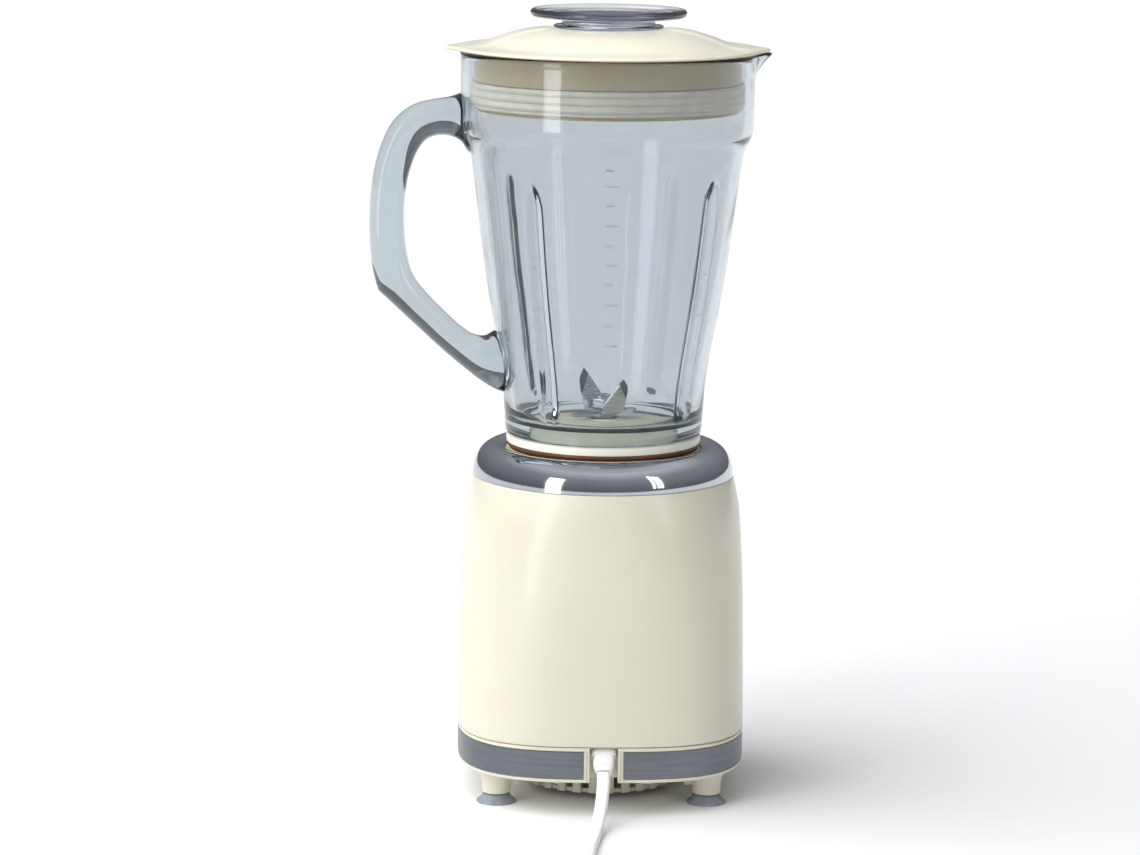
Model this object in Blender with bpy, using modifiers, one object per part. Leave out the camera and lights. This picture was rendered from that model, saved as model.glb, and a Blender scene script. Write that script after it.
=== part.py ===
"""Countertop blender: a glass jug on an ivory motor base, as separate pieces on real axes.

Metres, +Z up. The control knob faces -Y, the cord leaves at +Y and the jug's handle points to +X.
The origin is the centre of the object's footprint on the table; the jug's axis stands beside it,
because the handle reaches further out than the spout.
"""

import math

import bmesh
import bpy
from mathutils import Euler, Matrix, Vector

# ------------------------------------------------------------------ driving dimensions (metres)
GAP = 0.0003  # clearance left between pieces that touch

HANDLE_REACH = 0.1175  # from the jug's axis
SPOUT_REACH = 0.0812
KNOB_REACH = 0.0900
BRIM_RADIUS = 0.0750

BASE_TOP = 0.1591  # upper edge of the ivory housing
BASE_SPLIT = 0.0350  # lower edge of the ivory housing
FRAME_TOP = BASE_SPLIT - GAP
FRAME_BOTTOM = 0.0171
FRAME_HALF = 0.0719  # half the width of the base at the bottom
WALL = 0.0025
FOOT_X, FOOT_Y = 0.0523, 0.0416
SCREW_X, SCREW_Y = 0.0220, 0.0610
MOUNT_X, MOUNT_Y = 0.0300, 0.0320

SOCKET_FLOOR = 0.1486
SOCKET_LIP = 0.1732
COLLAR_RADIUS = 0.0485
NECK_RADIUS = 0.0430
JUG_FOOT = 0.1796  # underside of the glass foot
RIM_TOP = 0.3702
RIM_RADIUS = 0.0733
LID_TOP = 0.3814
CAP_TOP = 0.3910

SHAFT_RADIUS = 0.0040
BLADE_TURN = math.radians(127)  # the raised wings' line, from +X
WING_TURN = math.radians(32)  # the flat wings' line
KNOB_HEIGHT = 0.0950

CORD_WIDTH, CORD_THICK = 0.0064, 0.0034  # flat two-core lead
EXIT = Vector((0.0, 0.0733, 0.0228))  # where the cord leaves the strain relief
EXIT_TILT = math.radians(45)  # below the horizontal, towards +Y

COIL_RADIUS_OUT = 0.0366  # centreline of the outermost turn
COIL_RADIUS_IN = 0.0294
COIL_TOP = 0.0141
COIL_BOTTOM = 0.0012  # the turns rest on the tie
COIL_CENTRE = Vector((0.0120 - COIL_RADIUS_OUT, 0.2410, 0))
PLUG = Vector((-0.0800, 0.2400, 0.0070))  # where the cord enters the plug's boot

EDGE_ON = 0.0
LYING_FLAT = math.pi / 2

LEAD_ROUTE = [
    (0.0000, 0.0735, 0.0226, LYING_FLAT),
    (0.0001, 0.0764, 0.0197, LYING_FLAT),
    (0.0004, 0.0800, 0.0163, LYING_FLAT),
    (0.0012, 0.0860, 0.0114, LYING_FLAT),
    (0.0023, 0.0930, 0.0070, LYING_FLAT),
    (0.0036, 0.1015, 0.0037, LYING_FLAT),
    (0.0050, 0.1110, 0.0020, LYING_FLAT),
    (0.0063, 0.1210, 0.0018, LYING_FLAT),
    (0.0079, 0.1340, 0.0018, LYING_FLAT),
    (0.0094, 0.1500, 0.0018, LYING_FLAT),
    (0.0107, 0.1660, 0.0019, 0.96 * LYING_FLAT),
    (0.0115, 0.1800, 0.0027, 0.76 * LYING_FLAT),
    (0.0119, 0.1940, 0.0037, 0.42 * LYING_FLAT),
    (0.0120, 0.2080, 0.0043, 0.12 * LYING_FLAT),
    (0.0120, 0.2190, 0.0045, EDGE_ON),
    (0.0120, 0.2245, 0.0045, EDGE_ON),
]
TAIL_ROUTE = [
    (-0.0410, 0.2775, 0.0103, EDGE_ON),
    (-0.0500, 0.2758, 0.0095, EDGE_ON),
    (-0.0600, 0.2712, 0.0086, 0.2 * LYING_FLAT),
    (-0.0695, 0.2640, 0.0078, 0.5 * LYING_FLAT),
    (-0.0765, 0.2550, 0.0072, 0.8 * LYING_FLAT),
    (-0.0795, 0.2460, 0.0070, LYING_FLAT),
    (-0.0800, 0.2404, 0.0070, LYING_FLAT),
]

AXIS_X = (SPOUT_REACH - HANDLE_REACH) / 2
AXIS_Y = (KNOB_REACH - BRIM_RADIUS) / 2

FINISHES = {
    "ivory": ((0.86, 0.83, 0.70), 0.28, 0.0),
    "white": ((0.88, 0.88, 0.86), 0.40, 0.0),
    "cream": ((0.80, 0.72, 0.58), 0.45, 0.0),
    "black": ((0.03, 0.03, 0.03), 0.45, 0.0),
    "chrome": ((0.75, 0.76, 0.78), 0.05, 1.0),
    "steel": ((0.48, 0.50, 0.53), 0.28, 1.0),
    "iron": ((0.22, 0.22, 0.24), 0.45, 1.0),
    "copper": ((0.72, 0.34, 0.18), 0.35, 1.0),
    "brass": ((0.75, 0.58, 0.28), 0.30, 1.0),
    "rubber": ((0.42, 0.44, 0.46), 0.60, 0.0),
    "glass": ((0.80, 0.88, 0.90), 0.02, 0.0),
}

# ------------------------------------------------------------------ scene and helpers
for old in list(bpy.data.objects):
    bpy.data.objects.remove(old, do_unlink=True)

parts = bpy.data.collections.new("countertop_blender")
cutters = bpy.data.collections.new("cutters")
bpy.context.scene.collection.children.link(parts)
bpy.context.scene.collection.children.link(cutters)


def add_empty(name, location, parent=None):
    """A joint or reference frame that pieces are parented to."""
    made = bpy.data.objects.new(name, None)
    made.empty_display_size = 0.02
    parts.objects.link(made)
    made.parent = parent
    made.location = location
    return made


def add_part(name, data, finish, parent, location=(0, 0, 0), rotation=(0, 0, 0)):
    """Puts data in the scene as a named piece with a material of its own."""
    made = bpy.data.objects.new(name, data)
    parts.objects.link(made)
    made.parent = parent
    made.location = location
    made.rotation_euler = rotation
    colour, roughness, metallic = FINISHES[finish]
    material = bpy.data.materials.new(name + "_" + finish)
    material.use_nodes = True
    shader = material.node_tree.nodes["Principled BSDF"]
    shader.inputs["Base Color"].default_value = (*colour, 1.0)
    shader.inputs["Roughness"].default_value = roughness
    shader.inputs["Metallic"].default_value = metallic
    shader.inputs["Transmission Weight"].default_value = 0.9 if finish == "glass" else 0.0
    data.materials.append(material)
    return made


def combine(part, other, operation="DIFFERENCE"):
    """A Boolean with other, which becomes a hidden helper."""
    change = part.modifiers.new(other.name, "BOOLEAN")
    change.operation = operation
    change.object = other
    if other.name in parts.objects:
        parts.objects.unlink(other)
        cutters.objects.link(other)
    other.hide_render = True
    other.display_type = "WIRE"
    return part


def smooth(mesh):
    mesh.shade_smooth()
    mesh.set_sharp_from_angle(angle=math.radians(35))


def mesh_from(form, name):
    """The named mesh of a bmesh, with its normals facing out."""
    bmesh.ops.recalc_face_normals(form, faces=form.faces)
    mesh = bpy.data.meshes.new(name)
    form.to_mesh(mesh)
    form.free()
    smooth(mesh)
    return mesh


def turned(name, profile, finish, parent, steps=28, location=(0, 0, 0), rotation=(0, 0, 0)):
    """A Screw of a (radius, height) outline that runs down its outer side.

    An outline that starts and ends on the axis makes a solid, any other closes into a ring.
    """
    count = len(profile)
    edges = [(i, i + 1) for i in range(count - 1)]
    if profile[0][0] > 0 or profile[-1][0] > 0:
        edges.append((count - 1, 0))
    mesh = bpy.data.meshes.new(name)
    mesh.from_pydata([(r, 0, z) for r, z in profile], edges, [])
    made = add_part(name, mesh, finish, parent, location, rotation)
    screw = made.modifiers.new("turn", "SCREW")
    screw.steps = steps
    screw.render_steps = steps
    screw.use_merge_vertices = True
    screw.merge_threshold = 0.00001
    return made


def sleeve(name, outer, inner, low, high, finish, parent, steps=24, location=(0, 0, 0)):
    """A plain ring with a square section."""
    profile = [(inner, high), (outer, high), (outer, low), (inner, low)]
    return turned(name, profile, finish, parent, steps, location)


def box(name, low, high, finish, parent, bevel=0.0, rotation=(0, 0, 0), location=None):
    """A block between two corners; with a location the corners are relative to it."""
    low, high = Vector(low), Vector(high)
    middle = (low + high) / 2
    form = bmesh.new()
    bmesh.ops.create_cube(form, size=1.0)
    bmesh.ops.scale(form, vec=high - low, verts=form.verts)
    bmesh.ops.translate(form, vec=middle, verts=form.verts)
    made = add_part(name, mesh_from(form, name), finish, parent, location or (0, 0, 0), rotation)
    if bevel:
        rounding = made.modifiers.new("edges", "BEVEL")
        rounding.width = bevel
        rounding.segments = 2
    return made


def rod(name, radius, length, finish, parent, location, rotation=(0, 0, 0), sides=32):
    """A cylinder along its own Z, centred on its location."""
    form = bmesh.new()
    bmesh.ops.create_cone(
        form, cap_ends=True, segments=sides, radius1=radius, radius2=radius, depth=length
    )
    return add_part(name, mesh_from(form, name), finish, parent, location, rotation)


def prism(name, outline, low, high, finish, parent, location=(0, 0, 0), rotation=(0, 0, 0)):
    """A flat outline in local XY, extruded along local Z from low to high."""
    form = bmesh.new()
    face = form.faces.new([form.verts.new((x, y, low)) for x, y in outline])
    grown = bmesh.ops.extrude_face_region(form, geom=[face])
    moved = [item for item in grown["geom"] if isinstance(item, bmesh.types.BMVert)]
    bmesh.ops.translate(form, vec=(0, 0, high - low), verts=moved)
    return add_part(name, mesh_from(form, name), finish, parent, location, rotation)


def ring_point(half_x, half_y, power, angle):
    """A point of a superellipse: power 2 is an ellipse, and more squares it up."""
    c, s = math.cos(angle), math.sin(angle)
    reach = (abs(c) ** power + abs(s) ** power) ** (-1 / power)
    return half_x * reach * c, half_y * reach * s


def loft(
    name, rings, finish, parent, sides=36, capped=False, location=(0, 0, 0), rotation=(0, 0, 0)
):
    """A skin through (half x, half y, height, power) rings.

    Capped, it is a solid. Otherwise the last ring joins the first, so the outline is a closed wall.
    """
    form = bmesh.new()
    loops = []
    for half_x, half_y, height, power in rings:
        corners = [
            ring_point(half_x, half_y, power, math.tau * i / sides) for i in range(sides)
        ]
        loops.append([form.verts.new((x, y, height)) for x, y in corners])
    pairs = list(zip(loops, loops[1:]))
    if capped:
        form.faces.new(loops[0])
        form.faces.new(loops[-1])
    else:
        pairs.append((loops[-1], loops[0]))
    for one, two in pairs:
        for i in range(sides):
            j = (i + 1) % sides
            form.faces.new((one[i], one[j], two[j], two[i]))
    return add_part(name, mesh_from(form, name), finish, parent, location, rotation)


def merged(name, meshes, finish, parent):
    """Several loose shapes in one mesh, for use as a single Boolean helper."""
    form = bmesh.new()
    for mesh in meshes:
        form.from_mesh(mesh)
    return add_part(name, mesh_from(form, name), finish, parent)


def block_mesh(size, matrix):
    """A loose block of the given size, centred on and turned by matrix."""
    form = bmesh.new()
    bmesh.ops.create_cube(form, size=1.0, matrix=matrix @ Matrix.Diagonal((*size, 1)))
    return mesh_from(form, "block")


def around(radius, height, angle):
    """The frame of a piece at this radius and height, turned to face outwards."""
    turn = Matrix.Rotation(angle, 4, "Z")
    return turn @ Matrix.Translation((radius, 0, height))


def smooth_route(points, spacing):
    """Points about a spacing apart on a Catmull-Rom curve through points of any number of values."""
    ends = [
        [2 * a - b for a, b in zip(points[0], points[1])],
        [2 * a - b for a, b in zip(points[-1], points[-2])],
    ]
    knots = [ends[0], *points, ends[1]]
    route = []
    for p0, p1, p2, p3 in zip(knots, knots[1:], knots[2:], knots[3:]):
        steps = max(1, round(math.dist(p1[:3], p2[:3]) / spacing))
        for step in range(steps):
            t = step / steps
            weights = (
                -0.5 * t**3 + t**2 - 0.5 * t,
                1.5 * t**3 - 2.5 * t**2 + 1,
                -1.5 * t**3 + 2 * t**2 + 0.5 * t,
                0.5 * t**3 - 0.5 * t**2,
            )
            rows = zip(p0, p1, p2, p3)
            route.append([sum(w * v for w, v in zip(weights, row)) for row in rows])
    return [*route, list(points[-1])]


def swept(name, route, thick, width, finish, parent, resolution=2):
    """A lead or bar of a flat, round-edged section along (x, y, z, tilt) points."""
    curve = bpy.data.curves.new(name, "CURVE")
    curve.dimensions = "3D"
    curve.twist_mode = "Z_UP"
    curve.bevel_depth = thick / 2
    curve.extrude = (width - thick) / 2
    curve.bevel_resolution = resolution
    curve.use_fill_caps = True
    spline = curve.splines.new("POLY")
    spline.points.add(len(route) - 1)
    for point, (x, y, z, tilt) in zip(spline.points, route):
        point.co = (x, y, z, 1)
        point.tilt = tilt
    return add_part(name, curve, finish, parent)


def as_mesh(part):
    """The same piece as a mesh with welded caps, so that a Boolean can use it."""
    graph = bpy.context.evaluated_depsgraph_get()
    mesh = bpy.data.meshes.new_from_object(part.evaluated_get(graph))
    form = bmesh.new()
    form.from_mesh(mesh)
    bmesh.ops.remove_doubles(form, verts=form.verts, dist=0.00001)
    bmesh.ops.recalc_face_normals(form, faces=form.faces)
    form.to_mesh(mesh)
    form.free()
    solid = bpy.data.objects.new(part.name + "_solid", mesh)
    parts.objects.link(solid)
    solid.parent = part.parent
    solid.matrix_local = part.matrix_local
    bpy.data.objects.remove(part, do_unlink=True)
    return solid


# ------------------------------------------------------------------ frames and joint axes
axis = add_empty("jug_axis", (AXIS_X, AXIS_Y, 0))
jug_frame = add_empty("jug_lift", (0, 0, 0), axis)
lid_frame = add_empty("lid_lift", (0, 0, 0), jug_frame)
cap_frame = add_empty("cap_lift", (0, 0, 0), lid_frame)
motor_frame = add_empty("motor_spin", (0, 0, 0), axis)
blade_frame = add_empty("blade_spin", (0, 0, 0), jug_frame)
knob_frame = add_empty("knob_turn", (0, -FRAME_HALF, KNOB_HEIGHT), axis)


# ------------------------------------------------------------------ base housing
def base_power(height):
    """How square the housing's plan is: 2, a circle, at the top and 3 at the bottom."""
    share = (BASE_TOP - height) / (BASE_TOP - BASE_SPLIT)
    return 2 + max(0.0, min(1.0, share)) ** 0.8


def base_rings(inset):
    """The housing's outer form, or its inner one with an inset, from top to bottom."""
    outline = [
        (0.0655, BASE_TOP),
        (0.0674, 0.150),
        (0.0689, 0.140),
        (0.0706, 0.112),
        (0.0712, 0.090),
        (FRAME_HALF, BASE_SPLIT),
    ]
    return [(half - inset, half - inset, z, base_power(z)) for half, z in outline]


def make_body_shell():
    rings = base_rings(0) + base_rings(WALL)[::-1]
    shell = loft("body_shell", rings, "ivory", axis)
    for number, (sx, sy) in enumerate(((1, 1), (-1, 1), (1, -1), (-1, -1))):
        tag = f"boss_{number}"
        x, y = sx * SCREW_X, sy * SCREW_Y
        middle = (0.0205 + 0.060) / 2
        boss = rod(tag, 0.0045, 0.0395, "ivory", axis, (x, y, middle), sides=16)
        rib = box(
            tag + "_rib",
            (x - 0.0012, min(y + sy * 0.003, y + sy * 0.0085), 0.038),
            (x + 0.0012, max(y + sy * 0.003, y + sy * 0.0085), 0.0595),
            "ivory",
            axis,
        )
        bore = rod(tag + "_bore", 0.0023, 0.040, "ivory", axis, (x, y, 0.030), sides=12)
        combine(shell, boss, "UNION")
        combine(shell, rib, "UNION")
        combine(shell, bore)
    hole = rod(
        "spindle_hole", 0.005, 0.02, "ivory", axis, (0, -FRAME_HALF, KNOB_HEIGHT), (math.pi / 2, 0, 0)
    )
    return combine(shell, hole)


def make_chrome_top():
    profile = [
        (0.0490, 0.1726),
        (0.0545, 0.1742),
        (0.0582, 0.1733),
        (0.0622, 0.1700),
        (0.0646, 0.1656),
        (0.0655, BASE_TOP + GAP),
        (0.0640, BASE_TOP + GAP),
        (0.0632, 0.1650),
        (0.0610, 0.1688),
        (0.0576, 0.1718),
        (0.0543, 0.1727),
        (0.0490, 0.1712),
    ]
    return turned("chrome_top", profile, "chrome", axis, 32)


def make_jug_socket():
    """The cup that takes the jug's collar, with its keys, its flange and the motor's posts."""
    profile = [
        (0.0464, SOCKET_LIP),
        (0.0487, SOCKET_LIP),
        (0.0487, 0.1588),
        (0.0626, 0.1588),
        (0.0626, 0.1562),
        (0.0487, 0.1562),
        (0.0487, SOCKET_FLOOR - 0.0026),
        (0.0080, SOCKET_FLOOR - 0.0026),
        (0.0080, SOCKET_FLOOR),
        (0.0464, SOCKET_FLOOR),
    ]
    socket = turned("jug_socket", profile, "cream", axis, 32)
    for number, (sx, sy) in enumerate(((1, 1), (-1, 1), (1, -1), (-1, -1))):
        spot = (sx * MOUNT_X, sy * MOUNT_Y, 0.1325)
        post = rod(f"motor_post_{number}", 0.004, 0.029, "cream", axis, spot, sides=12)
        combine(socket, post, "UNION")
    places = [around(0.0458, SOCKET_FLOOR + 0.0068, math.pi * (i + 0.5) / 2) for i in range(4)]
    keys = [block_mesh((0.0036, 0.006, 0.014), place) for place in places]
    return combine(socket, merged("socket_keys", keys, "cream", axis), "UNION")


def make_base_frame():
    """The bottom ring: rim, seat of the steel band, lip, and the block that holds the cord."""
    outline = [
        (FRAME_HALF, FRAME_TOP),
        (FRAME_HALF, 0.0330),
        (0.0708, 0.0330),
        (0.0708, 0.0188),
        (0.0717, 0.0188),
        (0.0715, FRAME_BOTTOM),
        (0.0693, FRAME_BOTTOM),
        (0.0693, 0.0206),
        (0.0675, 0.0206),
        (0.0675, FRAME_TOP),
    ]
    frame = loft("base_frame", [(half, half, z, 3) for half, z in outline], "ivory", axis)
    block = box(
        "recess_block", (-0.009, 0.0575, FRAME_BOTTOM), (0.009, 0.07185, FRAME_TOP), "ivory", axis
    )
    # Outlines in the YZ plane: the open pocket with its slanted ceiling, and the room behind it.
    stand_up = Euler((math.pi / 2, 0, math.pi / 2)).to_matrix().to_euler()
    pocket = [(0.075, 0.015), (0.075, 0.036), (0.0698, 0.036), (0.060, 0.0262), (0.060, 0.015)]
    behind = [(0.056, 0.036), (0.0663, 0.036), (0.0575, 0.0272), (0.056, 0.0272)]
    combine(frame, block, "UNION")
    combine(frame, prism("pocket", pocket, -0.00715, 0.00715, "ivory", axis, rotation=stand_up))
    combine(frame, prism("behind", behind, -0.0075, 0.0075, "ivory", axis, rotation=stand_up))
    hole = box(
        "clamp_hole",
        (-0.0044, -0.0034, -0.010),
        (0.0044, 0.0034, 0.002),
        "ivory",
        axis,
        rotation=(-math.pi / 2 - EXIT_TILT, 0, 0),
        location=clamp_face(),
    )
    return combine(frame, hole)


def clamp_face():
    """The point on the strain relief's axis where its outer flange starts."""
    return EXIT - 0.0118 * exit_direction()


def exit_direction():
    return Vector((0, math.cos(EXIT_TILT), -math.sin(EXIT_TILT)))


def make_metal_band():
    outline = [(0.0717, 0.0327), (0.0717, 0.0191), (0.0711, 0.0191), (0.0711, 0.0327)]
    band = loft("metal_band", [(half, half, z, 3) for half, z in outline], "steel", axis)
    opening = box("band_opening", (-0.0093, 0.060, 0.010), (0.0093, 0.080, 0.040), "steel", axis)
    return combine(band, opening)


def make_bottom_cover():
    """Bottom plate with four foot posts and a round drum of vent bars under the fan."""
    half, low, high = 0.0690, 0.0174, 0.0202
    drum_radius, drum_low, bars = 0.040, 0.0034, 30
    plate = [(half, half, high, 3), (half, half, low, 3)]
    cover = loft("bottom_cover", plate, "ivory", axis, capped=True)
    drum = turned(
        "drum",
        [(0, low + 0.001), (drum_radius, low + 0.001), (drum_radius, drum_low), (0, drum_low)],
        "ivory",
        axis,
        bars,
    )
    inside = turned(
        "drum_inside",
        [(0, 0.03), (drum_radius - WALL, 0.03), (drum_radius - WALL, 0.0054), (0, 0.0054)],
        "ivory",
        axis,
        bars,
    )
    combine(cover, drum, "UNION")
    combine(cover, inside)
    places = [around(drum_radius - 0.001, 0.0110, math.tau * (i + 0.5) / bars) for i in range(bars)]
    slots = [block_mesh((0.008, 0.0042, 0.009), place) for place in places]
    combine(cover, merged("drum_slots", slots, "ivory", axis))
    for number, (sx, sy) in enumerate(((1, 1), (-1, 1), (1, -1), (-1, -1))):
        x, y = sx * FOOT_X, sy * FOOT_Y
        profile = [
            (0, 0.0184),
            (0.0096, 0.0184),
            (0.0092, 0.0160),
            (0.0074, 0.0125),
            (0.00705, 0.0049),
            (0, 0.0049),
        ]
        post = turned(f"post_{number}", profile, "ivory", axis, 12, (x, y, 0))
        well = rod(f"well_{number}", 0.0029, 0.010, "ivory", axis, (x, y, 0.0047), sides=10)
        rib = box(
            f"post_rib_{number}",
            (min(sx * 0.043, sx * 0.050), sy * 0.034 - 0.005, 0.0085),
            (max(sx * 0.043, sx * 0.050), sy * 0.034 + 0.005, 0.0180),
            "ivory",
            axis,
        )
        spot = (sx * SCREW_X, sy * SCREW_Y, 0.019)
        hole = rod(f"screw_hole_{number}", 0.0023, 0.01, "ivory", axis, spot, sides=12)
        combine(cover, post, "UNION")
        combine(cover, rib, "UNION")
        combine(cover, well)
        combine(cover, hole)
    notch = box("cover_notch", (-0.0094, 0.0571, 0.010), (0.0094, 0.080, 0.030), "ivory", axis)
    return combine(cover, notch)


def make_feet_and_screws():
    foot = [
        (0, 0.0088),
        (0.0026, 0.0088),
        (0.0026, 0.0046),
        (0.0064, 0.0042),
        (0.0074, 0.0020),
        (0.0098, 0.0010),
        (0.0098, 0),
        (0.0084, 0),
        (0.0040, 0.0014),
        (0, 0.0018),
    ]
    screw = [
        (0, 0.034),
        (0.0020, 0.034),
        (0.0020, 0.0171),
        (0.0040, 0.0171),
        (0.0036, 0.0149),
        (0, 0.0149),
    ]
    for number, (sx, sy) in enumerate(((1, 1), (-1, 1), (-1, -1), (1, -1)), 1):
        foot_spot = (sx * FOOT_X, sy * FOOT_Y, 0)
        screw_spot = (sx * SCREW_X, sy * SCREW_Y, 0)
        turned(f"suction_foot_{number}", foot, "rubber", axis, 14, foot_spot)
        turned(f"base_screw_{number}", screw, "steel", axis, 10, screw_spot)


def make_strain_relief():
    """A stepped clamp: inner boot, groove that the frame grips, flange, body and tapered nose."""
    sections = [
        (0.0040, 0.0026, -0.0120),
        (0.0046, 0.0032, -0.0062),
        (0.0055, 0.0043, -0.0062),
        (0.0055, 0.0043, -0.0031),
        (0.0041, 0.0031, -0.0031),
        (0.0041, 0.0031, 0.0),
        (0.00625, 0.0045, 0.0),
        (0.00625, 0.0045, 0.0033),
        (0.0051, 0.0039, 0.0033),
        (0.0051, 0.0038, 0.0080),
        (0.0040, 0.0024, 0.0115),
    ]
    rings = [(half_x, half_y, z, 4) for half_x, half_y, z in sections]
    return loft(
        "strain_relief",
        rings,
        "white",
        axis,
        16,
        capped=True,
        location=clamp_face(),
        rotation=(-math.pi / 2 - EXIT_TILT, 0, 0),
    )


# ------------------------------------------------------------------ motor
def make_stator():
    """Laminated frame with two poles, and a coil on each pole."""
    low, high, bore = 0.078, 0.114, 0.0195
    core = box("stator_core", (-0.035, -0.038, low), (0.035, 0.038, high), "iron", axis, 0.003)
    window = box("window", (-0.027, -0.030, 0.07), (0.027, 0.030, 0.12), "iron", axis)
    necks = box("pole_necks", (-0.010, -0.031, low), (0.010, 0.031, high), "iron", axis)
    shoe_low, shoe_high = low + 0.0001, high - 0.0001
    shoes = box("pole_shoes", (-0.018, -0.0225, shoe_low), (0.018, 0.0225, shoe_high), "iron", axis)
    combine(core, window)
    combine(core, necks, "UNION")
    combine(core, shoes, "UNION")
    combine(core, rod("stator_bore", bore, 0.06, "iron", axis, (0, 0, 0.096), sides=40))
    for side, name in ((1, "field_coil_left"), (-1, "field_coil_right")):
        near, far = sorted((side * 0.0228, side * 0.0297))
        coil = box(name, (-0.017, near, 0.071), (0.017, far, 0.121), "copper", axis, bevel=0.002)
        hole_low, hole_high = (-0.0103, -0.05, low - GAP), (0.0103, 0.05, high + GAP)
        combine(coil, box(name + "_hole", hole_low, hole_high, "copper", axis))


def make_brackets():
    """Strap brackets that carry the bearings above and below the stator."""
    for name, face, strap_low, strap_high, boss_low, boss_high in (
        ("upper_bracket", 0.1143, 0.126, 0.129, 0.126, 0.135),
        ("lower_bracket", 0.0777, 0.044, 0.047, 0.044, 0.053),
    ):
        strap = box(name, (-0.035, -0.009, strap_low), (0.035, 0.009, strap_high), "steel", axis)
        leg_low, leg_high = sorted((face, (strap_low + strap_high) / 2))
        for side in (-1, 1):
            near, far = sorted((side * 0.0295, side * 0.0345))
            low, high = (near, -0.008, leg_low), (far, 0.008, leg_high)
            combine(strap, box(f"{name}_leg_{side}", low, high, "steel", axis), "UNION")
        middle = (0, 0, (boss_low + boss_high) / 2)
        length = boss_high - boss_low
        boss = rod(name + "_boss", 0.010, length + 0.0004, "steel", axis, middle, sides=24)
        bore = rod(name + "_bore", 0.0073, length + 0.01, "steel", axis, middle, sides=24)
        combine(strap, boss, "UNION")
        combine(strap, bore)
    sleeve("upper_bearing", 0.0070, SHAFT_RADIUS + GAP, 0.1262, 0.1348, "brass", axis, 24)
    sleeve("lower_bearing", 0.0070, SHAFT_RADIUS + GAP, 0.0442, 0.0528, "brass", axis, 24)
    for side, word in ((1, "left"), (-1, "right")):
        near, far = sorted((side * 0.0125, side * 0.0289))
        holder = box(
            "brush_holder_" + word, (near, -0.004, 0.057), (far, 0.004, 0.065), "brass", axis
        )
        way = box(
            "brush_way_" + word, (-0.05, -0.0028, 0.0582), (0.05, 0.0028, 0.0638), "brass", axis
        )
        combine(holder, way)
    for number, (sx, sy) in enumerate(((1, 1), (-1, 1), (-1, -1), (1, -1)), 1):
        spot = (sx * MOUNT_X, sy * MOUNT_Y, 0.1160)
        rod(f"motor_mount_{number}", 0.0045, 0.0034, "rubber", axis, spot, sides=16)


def make_rotor():
    """Everything that turns with the motor shaft; its joint axis is the jug's axis."""
    bore = SHAFT_RADIUS + GAP
    rod("motor_shaft", SHAFT_RADIUS, 0.1297, "steel", motor_frame, (0, 0, 0.09185), sides=16)
    core = sleeve("armature_core", 0.0186, bore, 0.079, 0.113, "iron", motor_frame, 24)
    slots = [
        block_mesh((0.009, 0.0026, 0.05), around(0.0155, 0.096, math.tau * i / 12)) for i in range(12)
    ]
    combine(core, merged("armature_slots", slots, "iron", motor_frame))
    winding = sleeve("armature_winding", 0.0165, 0.0065, 0.1133, 0.1205, "copper", motor_frame, 24)
    end = sleeve("winding_end", 0.0165, 0.0065, 0.0715, 0.0787, "copper", motor_frame, 24)
    combine(winding, end, "UNION")
    wires = [
        block_mesh((0.0052, 0.0020, 0.044), around(0.0140, 0.096, math.tau * i / 12)) for i in range(12)
    ]
    combine(winding, merged("slot_wires", wires, "copper", motor_frame), "UNION")
    sleeve("commutator", 0.0110, bore, 0.0555, 0.0690, "copper", motor_frame, 20)
    fan = sleeve("cooling_fan", 0.0090, bore, 0.0285, 0.0400, "white", motor_frame, 18)
    disc = sleeve("fan_disc", 0.0300, bore + 0.001, 0.0380, 0.0398, "white", motor_frame, 27)
    combine(fan, disc, "UNION")
    vanes = [
        block_mesh((0.0215, 0.0016, 0.0092), around(0.0188, 0.0338, math.tau * i / 9)) for i in range(9)
    ]
    combine(fan, merged("fan_vanes", vanes, "white", motor_frame), "UNION")
    profile = [(bore, 0.1532), (0.0140, 0.1532), (0.0140, 0.1492), (bore, 0.1492)]
    drive = turned("drive_coupling", profile, "black", motor_frame, 20)
    combine(drive, prism("drive_star", star(0.0085), 0.1524, 0.1608, "black", motor_frame), "UNION")
    combine(drive, rod("drive_bore", bore, 0.009, "black", motor_frame, (0, 0, 0.1526), sides=14))


def star(radius):
    """A six-lobed outline, for the coupling's drive and its socket."""
    angles = [math.tau * i / 36 for i in range(36)]
    reach = [radius + 0.0011 * math.cos(6 * angle) for angle in angles]
    return [(r * math.cos(angle), r * math.sin(angle)) for r, angle in zip(reach, angles)]


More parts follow.
